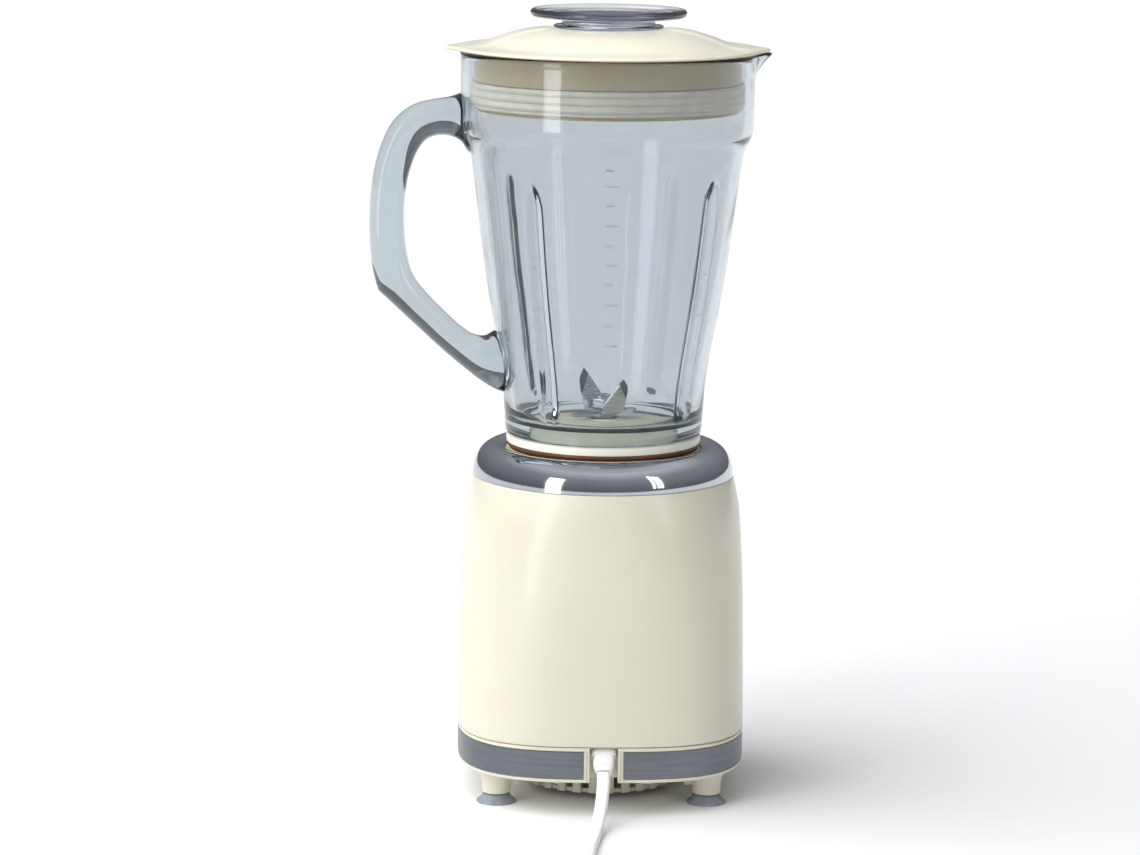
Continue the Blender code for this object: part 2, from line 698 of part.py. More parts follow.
# ------------------------------------------------------------------ control and inner wiring
def make_control():
    upright = (math.pi / 2, 0, 0)  # turns a piece's own Z to point to -Y
    low, high = (-0.014, -0.066, KNOB_HEIGHT - 0.014), (0.014, -0.048, KNOB_HEIGHT + 0.014)
    switch = box("rotary_switch", low, high, "black", axis, bevel=0.001)
    spot = (0, -0.064, KNOB_HEIGHT)
    combine(switch, rod("switch_bore", 0.0033, 0.012, "black", axis, spot, upright, 16))
    # The knob frame's origin is at the housing's front face; its pieces are turned about that axis.
    spindle = [(0, 0.0125), (0.0030, 0.0125), (0.0030, -0.0130), (0, -0.0130)]
    turned("switch_spindle", spindle, "steel", knob_frame, 16, rotation=upright)
    front = KNOB_REACH - FRAME_HALF
    profile = [
        (0, front),
        (0.0150, front),
        (0.0168, front - 0.0012),
        (0.0176, 0.0062),
        (0.0192, 0.0050),
        (0.0192, 0.0034),
        (0.0170, 0.0034),
        (0.0150, 0.0060),
        (0.0070, 0.0060),
        (0.0070, 0.0016),
        (0.0033, 0.0016),
        (0.0033, 0.0128),
        (0, 0.0128),
    ]
    knob = turned("knob", profile, "chrome", knob_frame, 24, rotation=upright)
    low, high = (-0.0032, -0.0150, 0.0130), (0.0032, 0.0150, front)
    grip = box("grip", low, high, "chrome", knob_frame, rotation=upright)
    for side in (-1, 1):
        near, far = sorted((side * 0.0034, side * 0.0200))
        low, high = (near, -0.0135, front - 0.0055), (far, 0.0135, front + 0.002)
        relief = box(f"grip_side_{side}", low, high, "chrome", knob_frame, rotation=upright)
        combine(knob, relief)
    combine(knob, grip, "UNION")
    ring = [
        (0.0200, 0.0026),
        (0.0225, 0.0032),
        (0.0240, 0.0020),
        (0.0240, -0.0060),
        (0.0062, -0.0060),
        (0.0062, 0.0012),
        (0.0195, 0.0012),
    ]
    bezel = turned("knob_bezel", ring, "chrome", axis, 28, (0, -FRAME_HALF, KNOB_HEIGHT), upright)
    form = loft("bezel_seat", base_rings(-GAP), "chrome", axis, capped=True)
    combine(bezel, form)
    route = [
        (0.000, 0.0548, 0.0413, 0),
        (0.004, 0.0500, 0.0440, 0),
        (0.026, 0.0440, 0.0480, 0),
        (0.047, 0.0280, 0.0540, 0),
        (0.052, 0.0000, 0.0620, 0),
        (0.046, -0.0280, 0.0720, 0),
        (0.028, -0.0480, 0.0830, 0),
        (0.0164, -0.0556, 0.0876, 0),
    ]
    swept("inner_lead", smooth_route(route, 0.012), 0.0042, 0.0044, "white", axis)


# ------------------------------------------------------------------ jug
def jug_outline():
    """Outer side of the glass from the rim down to the screw neck."""
    return [
        (RIM_RADIUS - 0.0012, RIM_TOP),
        (RIM_RADIUS, RIM_TOP - 0.0014),
        (0.0723, 0.3310),
        (0.0700, 0.3260),
        (0.0677, 0.3210),
        (0.0644, 0.2960),
        (0.0575, 0.2460),
        (0.0529, 0.2210),
        (0.0507, 0.2060),
        (0.0492, 0.1820),
        (0.0470, JUG_FOOT),
        (NECK_RADIUS, JUG_FOOT),
        (NECK_RADIUS, 0.1600),
    ]


def bore_outline():
    """The jug's inside, from above the rim down through the neck."""
    return [
        (0.0700, RIM_TOP + 0.001),
        (0.0690, RIM_TOP - 0.0015),
        (0.0684, 0.3330),
        (0.0655, 0.3270),
        (0.0632, 0.3200),
        (0.0600, 0.2960),
        (0.0531, 0.2460),
        (0.0487, 0.2210),
        (0.0452, 0.1950),
        (0.0425, 0.1890),
        (0.0375, 0.1860),
        (0.0375, 0.1590),
    ]


def make_glass_jug():
    """Body, handle and spout in one piece of glass."""
    outer = [(0, RIM_TOP), *jug_outline(), (0, 0.1600)]
    jug = turned("glass_jug", outer, "glass", jug_frame, 32)
    centreline = [
        (0.0620, 0.3378),
        (0.0820, 0.3378),
        (0.0950, 0.3325),
        (0.1040, 0.3180),
        (0.1083, 0.2980),
        (0.1083, 0.2760),
        (0.1040, 0.2570),
        (0.0850, 0.2380),
        (0.0660, 0.2220),
        (0.0480, 0.2068),
    ]
    # The bar is drawn flat and then stood up, so that its wide side faces sideways.
    flat = smooth_route([(r, z, 0, 0) for r, z in centreline], 0.018)
    bar = swept("handle", flat, 0.0182, 0.0220, "glass", jug_frame, resolution=2)
    bar.rotation_euler = (math.pi / 2, 0, 0)
    bpy.context.view_layer.update()
    combine(jug, as_mesh(bar), "UNION")
    combine(jug, spout("spout", 0.0120, 0.0020), "UNION")
    bore = turned("jug_bore", [(0, RIM_TOP + 0.001), *bore_outline(), (0, 0.1590)], "glass", jug_frame, 32)
    combine(jug, bore)
    return combine(jug, spout("spout_way", 0.0095, 0.0005, RIM_TOP + 0.001))


def spout(name, top_radius, low_radius, top=RIM_TOP - 0.0012):
    """A cone that leans out over the rim; a smaller one cuts its channel."""
    low = 0.3530
    form = bmesh.new()
    bmesh.ops.create_cone(
        form, cap_ends=True, segments=16, radius1=low_radius, radius2=top_radius, depth=top - low
    )
    for corner in form.verts:
        lean = 0.5 + corner.co.z / (top - low)
        corner.co.x -= 0.0690 + 0.0002 * lean
        corner.co.z += (top + low) / 2
    return add_part(name, mesh_from(form, name), "glass", jug_frame)


def make_jug_base():
    """Collar, gasket and blade holder that close the open foot of the glass."""
    profile = [
        (NECK_RADIUS + GAP, JUG_FOOT - GAP),
        (COLLAR_RADIUS - 0.0006, JUG_FOOT - GAP),
        (COLLAR_RADIUS, JUG_FOOT - 0.0010),
        (COLLAR_RADIUS, 0.1749),
        (0.0459, 0.1745),
        (0.0459, SOCKET_FLOOR + GAP),
        (0.0395, SOCKET_FLOOR + GAP),
        (0.0395, 0.1537),
        (NECK_RADIUS + GAP, 0.1537),
    ]
    collar = turned("jug_collar", profile, "ivory", jug_frame, 32)
    notches = [
        block_mesh((0.0050, 0.0070, 0.020), around(0.0460, SOCKET_FLOOR + 0.006, math.pi * (i + 0.5) / 2))
        for i in range(4)
    ]
    combine(collar, merged("collar_notches", notches, "ivory", jug_frame))
    sleeve("jug_gasket", 0.0428, 0.0378, 0.1572, 0.1597, "rubber", jug_frame, 28)
    profile = [
        (0.0070, 0.1855),
        (0.0092, 0.1855),
        (0.0105, 0.1838),
        (0.0300, 0.1832),
        (0.0360, 0.1812),
        (0.0369, 0.1795),
        (0.0369, 0.1569),
        (0.0428, 0.1569),
        (0.0428, 0.1540),
        (0.0330, 0.1540),
        (0.0330, 0.1760),
        (0.0120, 0.1770),
        (0.0120, 0.1690),
        (0.0070, 0.1690),
    ]
    turned("blade_holder", profile, "cream", jug_frame, 28)
    sleeve("blade_bush", 0.0067, SHAFT_RADIUS + GAP, 0.1693, 0.1807, "brass", jug_frame, 16)
    sleeve("shaft_seal", 0.0067, SHAFT_RADIUS + GAP, 0.1810, 0.1852, "black", jug_frame, 16)


def make_blades():
    """The turning part of the blade unit; its joint axis is the jug's axis."""
    bore = SHAFT_RADIUS + GAP
    shaft = [
        (0, 0.1962),
        (SHAFT_RADIUS, 0.1962),
        (SHAFT_RADIUS, 0.1876),
        (0.0058, 0.1876),
        (0.0058, 0.1859),
        (SHAFT_RADIUS, 0.1859),
        (SHAFT_RADIUS, 0.1618),
        (0, 0.1618),
    ]
    turned("blade_shaft", shaft, "steel", blade_frame, 16)
    nut = turned(
        "blade_nut",
        [(0, 0.1990), (0.0034, 0.1988), (0.0062, 0.1964), (0.0062, 0.1920), (0, 0.1920)],
        "steel",
        blade_frame,
        6,
    )
    combine(nut, rod("nut_bore", bore, 0.006, "steel", blade_frame, (0, 0, 0.1935), sides=16))
    flat_wings = [
        (-0.0190, 0.0020),
        (-0.0150, 0.0050),
        (-0.0060, 0.0062),
        (0.0060, 0.0062),
        (0.0190, 0.0030),
        (0.0190, -0.0020),
        (0.0150, -0.0050),
        (0.0060, -0.0062),
        (-0.0060, -0.0062),
        (-0.0190, -0.0030),
    ]
    lower = prism(
        "blade_lower", flat_wings, 0.1879, 0.1894, "steel", blade_frame, rotation=(0, 0, WING_TURN)
    )
    combine(lower, rod("lower_hole", bore, 0.02, "steel", blade_frame, (0, 0, 0.1885), sides=20))
    raised_wings = [
        (-0.0070, 0.1897),
        (0.0070, 0.1897),
        (0.0135, 0.2082),
        (0.0121, 0.2087),
        (0.0060, 0.1912),
        (-0.0060, 0.1912),
        (-0.0121, 0.2087),
        (-0.0135, 0.2082),
    ]
    turn = Euler((math.pi / 2, 0, BLADE_TURN)).to_matrix().to_euler()
    upper = prism("blade_upper", raised_wings, -0.00625, 0.00625, "steel", blade_frame, rotation=turn)
    for side in (-1, 1):
        tip = block_mesh(
            (0.030, 0.0100, 0.030),
            Matrix.Rotation(BLADE_TURN, 4, "Z")
            @ Matrix.Translation((side * 0.011, side * 0.0082, 0.2095))
            @ Matrix.Rotation(math.radians(side * -28), 4, "X"),
        )
        combine(upper, merged(f"tip_cut_{side}", [tip], "steel", blade_frame))
    combine(upper, rod("upper_hole", bore, 0.004, "steel", blade_frame, (0, 0, 0.1904), sides=20))
    driven = turned(
        "driven_coupling",
        [(bore, 0.1660), (0.0125, 0.1660), (0.0140, 0.1645), (0.0140, 0.1536), (bore, 0.1536)],
        "black",
        blade_frame,
        20,
    )
    combine(driven, prism("driven_star", star(0.0091), 0.1500, 0.1614, "black", blade_frame))


# ------------------------------------------------------------------ lid and filler cap
def make_lid():
    """Domed lid with a feed hole, a skirt that plugs the jug, and two pointed tabs."""
    profile = [
        (0.0223, LID_TOP),
        (0.0265, LID_TOP),
        (0.0400, 0.3797),
        (0.0520, 0.3764),
        (0.0610, 0.3731),
        (0.0740, 0.3725),
        (BRIM_RADIUS, 0.3715),
        (BRIM_RADIUS, RIM_TOP + GAP),
        (0.0660, RIM_TOP + GAP),
        (0.0660, 0.3560),
        (0.0638, 0.3560),
        (0.0638, 0.3430),
        (0.0648, 0.3430),
        (0.0648, 0.3415),
        (0.0615, 0.3415),
        (0.0615, 0.3680),
        (0.0500, 0.3738),
        (0.0380, 0.3772),
        (0.0245, 0.3786),
        (0.0245, 0.3700),
        (0.0223, 0.3700),
    ]
    lid = turned("lid", profile, "ivory", lid_frame, 32)
    tab = [
        (0.0650, 0.0300),
        (0.0690, 0.0290),
        (0.0752, 0.0130),
        (0.0795, 0.0040),
        (0.0802, 0.0),
        (0.0795, -0.0040),
        (0.0752, -0.0130),
        (0.0690, -0.0290),
        (0.0650, -0.0300),
    ]
    for name, turn in (("handle_tab", 0), ("spout_tab", math.pi)):
        shape = prism(name, tab, RIM_TOP + GAP + 0.00005, 0.3722, "ivory", lid_frame, rotation=(0, 0, turn))
        combine(lid, shape, "UNION")
    ribs = [(0.0641, 0.3557), (0.0672, 0.3557)]
    for number in range(3):
        top = 0.3545 - number * 0.0038
        ribs += [(0.0680, top), (0.0680, top - 0.0014), (0.0670, top - 0.0019)]
    ribs += [(0.0670, 0.3433), (0.0641, 0.3433)]
    turned("lid_gasket", ribs, "cream", lid_frame, 32)


def make_filler_cap():
    """Clear measuring cap: wide rounded disc, neck, flange, and a cup that plugs the feed hole."""
    profile = [
        (0, CAP_TOP - 0.0018),
        (0.0330, CAP_TOP - 0.0018),
        (0.0352, CAP_TOP - 0.0004),
        (0.0368, CAP_TOP),
        (0.0382, CAP_TOP - 0.0007),
        (0.0387, CAP_TOP - 0.0020),
        (0.0381, CAP_TOP - 0.0034),
        (0.0366, CAP_TOP - 0.0041),
        (0.0250, CAP_TOP - 0.0045),
        (0.0230, 0.3852),
        (0.0230, 0.3834),
        (0.0272, 0.3830),
        (0.0272, LID_TOP + GAP),
        (0.0219, LID_TOP + GAP),
        (0.0219, 0.3660),
        (0.0195, 0.3660),
        (0.0195, 0.3850),
        (0, 0.3850),
    ]
    turned("filler_cap", profile, "glass", cap_frame, 28)


# ------------------------------------------------------------------ mains lead
def make_lead():
    swept("mains_cord", smooth_route(LEAD_ROUTE, 0.010), CORD_THICK, CORD_WIDTH, "white", axis)
    swept("cord_tail", smooth_route(TAIL_ROUTE, 0.010), CORD_THICK, CORD_WIDTH, "white", axis)
    half = CORD_THICK / 2
    outer, inner = COIL_RADIUS_OUT + half, COIL_RADIUS_IN - half
    sleeve("cord_coil", outer, inner, COIL_BOTTOM, COIL_TOP, "white", axis, 32, COIL_CENTRE)
    # The tie is a strap once round the turns, on the side of the coil away from the object.
    room, strap = 2 * GAP, 0.0007
    length = 0.006
    centre = COIL_CENTRE + Vector((0, (outer + inner) / 2, 0))
    reach = (outer - inner) / 2 + room + 0.0002
    tie = box(
        "cord_tie",
        (-length / 2, -reach - strap, 0.0001),
        (length / 2, reach + strap, COIL_TOP + room + strap),
        "black",
        axis,
        location=centre,
    )
    low, high = (-0.01, -reach, COIL_BOTTOM - GAP), (0.01, reach, COIL_TOP + room)
    way = box("tie_way", low, high, "black", axis, location=centre)
    combine(tie, way)


def make_plug():
    """Two-pin plug lying beside the coil, its pins pointing back towards the object."""
    facing = (math.pi / 2, 0, 0)  # own Z points to -Y
    sections = [
        (0.0042, 0.0026, 0.0),
        (0.0062, 0.0042, 0.0090),
        (0.0105, 0.0064, 0.0120),
        (0.0118, 0.0069, 0.0150),
        (0.0118, 0.0069, 0.0310),
        (0.0110, 0.0061, 0.0330),
    ]
    rings = [(half_x, half_y, z, 4) for half_x, half_y, z in sections]
    loft("plug_body", rings, "white", axis, 16, capped=True, location=PLUG, rotation=facing)
    for side, name in ((1, "plug_pin_left"), (-1, "plug_pin_right")):
        middle = side * 0.00635
        pin = box(
            name,
            (middle - 0.00075, -0.0031, 0.0333),
            (middle + 0.00075, 0.0031, 0.0500),
            "brass",
            axis,
            location=PLUG,
            rotation=facing,
        )
        spot = PLUG + Vector((middle, -0.0465, 0))
        eye = rod(name + "_eye", 0.0015, 0.01, "brass", axis, spot, (0, math.pi / 2, 0), 12)
        combine(pin, eye)


make_body_shell()
make_chrome_top()
make_jug_socket()
make_base_frame()
make_metal_band()
make_bottom_cover()
make_feet_and_screws()
make_strain_relief()
make_stator()
make_brackets()
make_rotor()
make_control()
make_glass_jug()
make_jug_base()
make_blades()
make_lid()
make_filler_cap()
make_lead()
make_plug()
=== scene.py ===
# %% [markdown]
# # A countertop blender, piece by piece
# The jug of this kitchen blender is pressed glass, its base is moulded ivory ABS with a
# chrome-plated shoulder and a band of satin steel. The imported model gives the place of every
# piece, and each step below builds one piece of it in finer detail and gives it its finish.

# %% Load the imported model
import math

import bmesh
import bpy
from mathutils import Matrix, Vector


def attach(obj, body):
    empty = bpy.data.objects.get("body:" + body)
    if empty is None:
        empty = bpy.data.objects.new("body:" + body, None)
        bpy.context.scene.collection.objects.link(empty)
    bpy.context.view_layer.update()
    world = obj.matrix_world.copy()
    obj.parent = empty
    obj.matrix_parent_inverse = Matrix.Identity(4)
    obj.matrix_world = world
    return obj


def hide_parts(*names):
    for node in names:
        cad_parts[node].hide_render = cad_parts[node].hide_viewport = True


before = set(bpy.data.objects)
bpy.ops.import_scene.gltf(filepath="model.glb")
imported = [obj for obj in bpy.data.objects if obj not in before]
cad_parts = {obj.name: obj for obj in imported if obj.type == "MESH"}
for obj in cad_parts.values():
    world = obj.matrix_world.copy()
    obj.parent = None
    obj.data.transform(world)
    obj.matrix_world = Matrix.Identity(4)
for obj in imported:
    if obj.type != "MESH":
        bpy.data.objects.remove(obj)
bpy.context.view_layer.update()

HANDLE_REACH, SPOUT_REACH = 0.1175, 0.0812  # from the jug's axis, along X
KNOB_REACH, BRIM_RADIUS = 0.0900, 0.0750  # the same along Y
JUG_AXIS = Vector(((SPOUT_REACH - HANDLE_REACH) / 2, (KNOB_REACH - BRIM_RADIUS) / 2, 0))

# %% [markdown]
# ## Camera and light
# A long lens from two metres keeps the jug's sides nearly parallel. A sun lamp with a very wide
# disc works like a bright silk stretched over the table: it lights the floor evenly to the horizon
# and leaves only a soft shadow. It is hidden from reflections, where its disc would show as a hard
# spot. The chrome mirrors the room instead, so the world is graded, dim at the horizon and bright
# overhead. A box on one side and three thin strips on the other give the glass and the chrome the
# upright streaks by which the eye knows them.

# %% Camera
scene = bpy.context.scene
CAMERA_DISTANCE, CAMERA_HEIGHT = 2.0, 0.527
SIDE_TURN, PITCH, ROLL = math.radians(1.9), math.radians(9.8), math.radians(0.68)
AIM_SIDE = 0.0167  # the camera looks this far beside the jug's axis

away = Vector((math.sin(SIDE_TURN), math.cos(SIDE_TURN), 0))
beside = Vector((math.cos(SIDE_TURN), -math.sin(SIDE_TURN), 0))
level = (AIM_SIDE * beside - CAMERA_DISTANCE * away).normalized()
looking = Vector((level.x * math.cos(PITCH), level.y * math.cos(PITCH), -math.sin(PITCH)))
camera = bpy.data.objects.new("camera", bpy.data.cameras.new("camera"))
scene.collection.objects.link(camera)
camera.location = JUG_AXIS + CAMERA_DISTANCE * away + Vector((0, 0, CAMERA_HEIGHT))
turn = looking.to_track_quat("-Z", "Y").to_matrix() @ Matrix.Rotation(ROLL, 3, "Z")
camera.rotation_euler = turn.to_euler()
camera.data.lens = 128.0
camera.data.sensor_width = 36.0
camera.data.clip_start, camera.data.clip_end = 0.05, 100
scene.camera = camera
scene.view_settings.view_transform = "Standard"
print("camera at", [round(v, 3) for v in camera.location], "lens", camera.data.lens)


# %% [markdown]
# ## Colours and nodes
# Colours are written as sRGB hex values, as a paint chart gives them, and one function turns them
# to the linear values that the shader works with. One more adds a node with its settings.

# %% Colour and node helpers
def linear(colour, alpha=1.0):
    """An sRGB hex colour as linear red, green, blue and alpha."""
    parts = [int(colour[i : i + 2], 16) / 255 for i in (1, 3, 5)]
    return (*[p / 12.92 if p <= 0.04045 else ((p + 0.055) / 1.055) ** 2.4 for p in parts], alpha)


def node(tree, kind, inputs=None, links=None, **settings):
    """Adds a node: its settings, the values of its inputs, and the outputs linked to them."""
    made = tree.nodes.new(kind)
    for key, value in settings.items():
        setattr(made, key, value)
    for key, value in (inputs or {}).items():
        made.inputs[key].default_value = value
    for key, output in (links or {}).items():
        tree.links.new(output, made.inputs[key])
    return made


def finish_of(name, colour, roughness, metallic=0.0, **shader_inputs):
    """A named material with its uniform values on the shader: returns it, its tree and shader."""
    material = bpy.data.materials.new(name)
    material.use_nodes = True
    tree = material.node_tree
    shader = tree.nodes["Principled BSDF"]
    shader.inputs["Base Color"].default_value = linear(colour)
    shader.inputs["Roughness"].default_value = roughness
    shader.inputs["Metallic"].default_value = metallic
    for key, value in shader_inputs.items():
        shader.inputs[key.replace("_", " ")].default_value = value
    return material, tree, shader


def grain(tree, size_mm, stretch=(1, 1, 1), detail=3.0):
    """Noise whose features are size_mm across, in the piece's own coordinates."""
    place = node(tree, "ShaderNodeTexCoord")
    scaled = node(tree, "ShaderNodeMapping", {"Scale": stretch}, {"Vector": place.outputs["Object"]})
    values = {"Scale": 1000 / size_mm, "Detail": detail, "Roughness": 0.55}
    return node(tree, "ShaderNodeTexNoise", values, {"Vector": scaled.outputs["Vector"]})


def vary_colour(tree, shader, noise, dark, light):
    """The base colour drifts between two close shades as the noise does."""
    ramp = node(tree, "ShaderNodeValToRGB", None, {"Fac": noise.outputs["Fac"]})
    ramp.color_ramp.elements[0].position, ramp.color_ramp.elements[1].position = 0.35, 0.65
    ramp.color_ramp.elements[0].color, ramp.color_ramp.elements[1].color = linear(dark), linear(light)
    tree.links.new(ramp.outputs["Color"], shader.inputs["Base Color"])
    return ramp


def vary_roughness(tree, shader, noise, low, high):
    spread = node(
        tree, "ShaderNodeMapRange", {"To Min": low, "To Max": high}, {"Value": noise.outputs["Fac"]}
    )
    tree.links.new(spread.outputs["Result"], shader.inputs["Roughness"])


def raise_surface(tree, shader, noise, height_mm, strength=1.0):
    values = {"Strength": strength, "Distance": height_mm / 1000}
    bump = node(tree, "ShaderNodeBump", values, {"Height": noise.outputs["Fac"]})
    tree.links.new(bump.outputs["Normal"], shader.inputs["Normal"])


print("ivory in linear light", [round(v, 3) for v in linear("#EFE9D0")])

# %% Floor and lamps
paper, tree, shader = finish_of("pale_paper_floor", "#F4F4F4", 0.9, Specular_IOR_Level=0.1)
raise_surface(tree, shader, grain(tree, 1.5), 0.05, 0.3)
form = bmesh.new()
bmesh.ops.create_grid(form, x_segments=2, y_segments=2, size=20)
floor_mesh = bpy.data.meshes.new("floor")
form.to_mesh(floor_mesh)
form.free()
floor_mesh.materials.append(paper)
floor = bpy.data.objects.new("floor", floor_mesh)
scene.collection.objects.link(floor)

sky = bpy.data.worlds.new("studio")
sky.use_nodes = True
tree = sky.node_tree
around = node(tree, "ShaderNodeTexCoord")
parts = node(tree, "ShaderNodeSeparateXYZ", None, {"Vector": around.outputs["Generated"]})
walls = node(tree, "ShaderNodeValToRGB", None, {"Fac": parts.outputs["Z"]})
shades = walls.color_ramp.elements
for element, place, colour in ((shades[0], 0.0, "#707277"), (shades[1], 0.55, "#A4A6AB")):
    element.position, element.color = place, linear(colour)
for place, colour in ((0.82, "#E0E2E6"), (1.0, "#BEC0C5")):
    shades.new(place).color = linear(colour)
tree.links.new(walls.outputs["Color"], tree.nodes["Background"].inputs["Color"])
scene.world = sky


def hang_lamp(name, kind, place, power, size, height=None):
    """A lamp of the given width, and height if it is a box, aimed at the middle of the object."""
    data = bpy.data.lights.new(name, kind)
    data.energy = power
    if kind == "SUN":
        data.angle = size
    else:
        data.shape, data.size, data.size_y = "RECTANGLE", size, height
    lamp = bpy.data.objects.new(name, data)
    scene.collection.objects.link(lamp)
    lamp.location = JUG_AXIS + Vector(place)
    aim = JUG_AXIS + Vector((0, 0, 0.2)) - lamp.location
    lamp.rotation_euler = aim.to_track_quat("-Z", "Y").to_euler()
    lamp.visible_camera = False
    return lamp


hang_lamp("silk_sun", "SUN", (1.8, 0.55, 2.5), 2.7, math.radians(70)).visible_glossy = False
hang_lamp("left_box", "AREA", (1.25, 1.25, 0.55), 6.0, 0.45, 1.2)
for number, aside in enumerate((-1.05, -1.22, -1.38)):
    hang_lamp(f"right_strip_{number + 1}", "AREA", (aside, 1.1, 0.8), 0.9, 0.05, 1.0)

# A black cloth on a frame, out of the picture, keeps the pale table's light off the right side.
flag_cloth, tree, shader = finish_of("black_flag_cloth", "#141416", 0.95)
raise_surface(tree, shader, grain(tree, 1.0), 0.1, 0.5)
form = bmesh.new()
bmesh.ops.create_grid(form, x_segments=1, y_segments=1, size=0.5)
stand = Matrix.Translation(JUG_AXIS + Vector((-0.62, 0.25, 0.50)))
stand = stand @ Matrix.Rotation(math.pi / 2, 4, "Y") @ Matrix.Diagonal((0.7, 1.5, 1, 1))
bmesh.ops.transform(form, matrix=stand, verts=form.verts)
flag_mesh = bpy.data.meshes.new("flag")
form.to_mesh(flag_mesh)
form.free()
flag_mesh.materials.append(flag_cloth)
flag = bpy.data.objects.new("flag", flag_mesh)
scene.collection.objects.link(flag)
for kind in ("camera", "glossy", "transmission", "shadow"):
    setattr(flag, f"visible_{kind}", False)

# %% [markdown]
# ## The mains lead
# The lead is a flat two-core PVC cord, 6.4 mm wide and 3.4 mm thick, as small appliances have.
# It is one curve with a flat section: out of its clamp at a slant, down to the table, and then
# wound on edge into a neat two-layer coil under a tie, with the plug beside it. The tilt of each
# point says whether the cord lies flat or stands on its edge.

# %% Route of the lead
CORD_WIDTH, CORD_THICK = 0.0064, 0.0034
EXIT = Vector((0.0, 0.0733, 0.0228))  # from the jug's axis, as all the places below
EXIT_TILT = math.radians(45)
EDGE_ON, LYING_FLAT = 0.0, math.pi / 2
COIL_RADIUS, COIL_PITCH = 0.0366, 0.0036
COIL_CENTRE = Vector((0.0120 - COIL_RADIUS, 0.2410, 0))
LOW_TURNS, HIGH_TURNS, ALL_TURNS = 0.0044, 0.0109, 5.25
LEAD_ROUTE = [
    (0.0000, 0.0735, 0.0226, LYING_FLAT),
    (0.0001, 0.0764, 0.0197, LYING_FLAT),
    (0.0004, 0.0800, 0.0163, LYING_FLAT),
    (0.0012, 0.0860, 0.0114, LYING_FLAT),
    (0.0023, 0.0930, 0.0070, LYING_FLAT),
    (0.0036, 0.1015, 0.0037, LYING_FLAT),
    (0.0050, 0.1110, 0.0020, LYING_FLAT),
    (0.0063, 0.1210, 0.0018, LYING_FLAT),
    (0.0079, 0.1340, 0.0018, LYING_FLAT),
    (0.0094, 0.1500, 0.0018, LYING_FLAT),
    (0.0107, 0.1660, 0.0019, 0.96 * LYING_FLAT),
    (0.0115, 0.1800, 0.0027, 0.76 * LYING_FLAT),
    (0.0119, 0.1940, 0.0037, 0.42 * LYING_FLAT),
    (0.0120, 0.2080, 0.0043, 0.12 * LYING_FLAT),
    (0.0120, 0.2190, 0.0045, EDGE_ON),
    (0.0120, 0.2245, 0.0045, EDGE_ON),
]
TAIL_ROUTE = [
    (-0.0410, 0.2775, 0.0103, EDGE_ON),
    (-0.0500, 0.2758, 0.0095, EDGE_ON),
    (-0.0600, 0.2712, 0.0086, 0.2 * LYING_FLAT),
    (-0.0695, 0.2640, 0.0078, 0.5 * LYING_FLAT),
    (-0.0765, 0.2550, 0.0072, 0.8 * LYING_FLAT),
    (-0.0795, 0.2460, 0.0070, LYING_FLAT),
    (-0.0800, 0.2404, 0.0070, LYING_FLAT),
]


def smooth_line(points, spacing):
    """Points about a spacing apart on a Catmull-Rom curve through points of any number of values."""
    ends = [
        [2 * a - b for a, b in zip(points[0], points[1])],
        [2 * a - b for a, b in zip(points[-1], points[-2])],
    ]
    knots = [ends[0], *points, ends[1]]
    line = []
    for p0, p1, p2, p3 in zip(knots, knots[1:], knots[2:], knots[3:]):
        steps = max(1, round(math.dist(p1[:3], p2[:3]) / spacing))
        for step in range(steps):
            t = step / steps
            weights = (
                -0.5 * t**3 + t**2 - 0.5 * t,
                1.5 * t**3 - 2.5 * t**2 + 1,
                -1.5 * t**3 + 2 * t**2 + 0.5 * t,
                0.5 * t**3 - 0.5 * t**2,
            )
            line.append([sum(w * v for w, v in zip(weights, row)) for row in zip(p0, p1, p2, p3)])
    return [*line, list(points[-1])]


def ease(value, low, high):
    """0 below low, 1 above high, and a smooth step between."""
    share = min(1.0, max(0.0, (value - low) / (high - low)))
    return share * share * (3 - 2 * share)


coil = []
STEPS_A_TURN = 32
for step in range(round(ALL_TURNS * STEPS_A_TURN) + 1):
    turns = step / STEPS_A_TURN
    radius = COIL_RADIUS - COIL_PITCH * (turns if turns < 2.5 else 5 - turns)
    height = LOW_TURNS + (HIGH_TURNS - LOW_TURNS) * ease(turns, 2.0, 3.0)
    angle = math.tau * turns
    x = COIL_CENTRE.x + radius * math.cos(angle)
    y = COIL_CENTRE.y + radius * math.sin(angle)
    coil.append((x, y, height, EDGE_ON))
route = smooth_line(LEAD_ROUTE, 0.004) + coil + smooth_line([coil[-1], *TAIL_ROUTE], 0.004)[1:]
spots = [JUG_AXIS + Vector(point[:3]) for point in route]
cord_length = sum((b - a).length for a, b in zip(spots, spots[1:]))
print("lead:", len(route), "points,", round(cord_length, 3), "m")

# %% White PVC
# Extruded PVC is slightly waxy: a soft broad shine, and the faint lengthwise ripple of the die.
white_pvc, tree, shader = finish_of("white_extruded_pvc", "#F3F3F1", 0.42, Coat_Weight=0.08)
ripple = grain(tree, 1.6)
vary_colour(tree, shader, ripple, "#EFEFEC", "#F6F6F4")
vary_roughness(tree, shader, ripple, 0.36, 0.5)
raise_surface(tree, shader, grain(tree, 0.6), 0.03, 0.5)


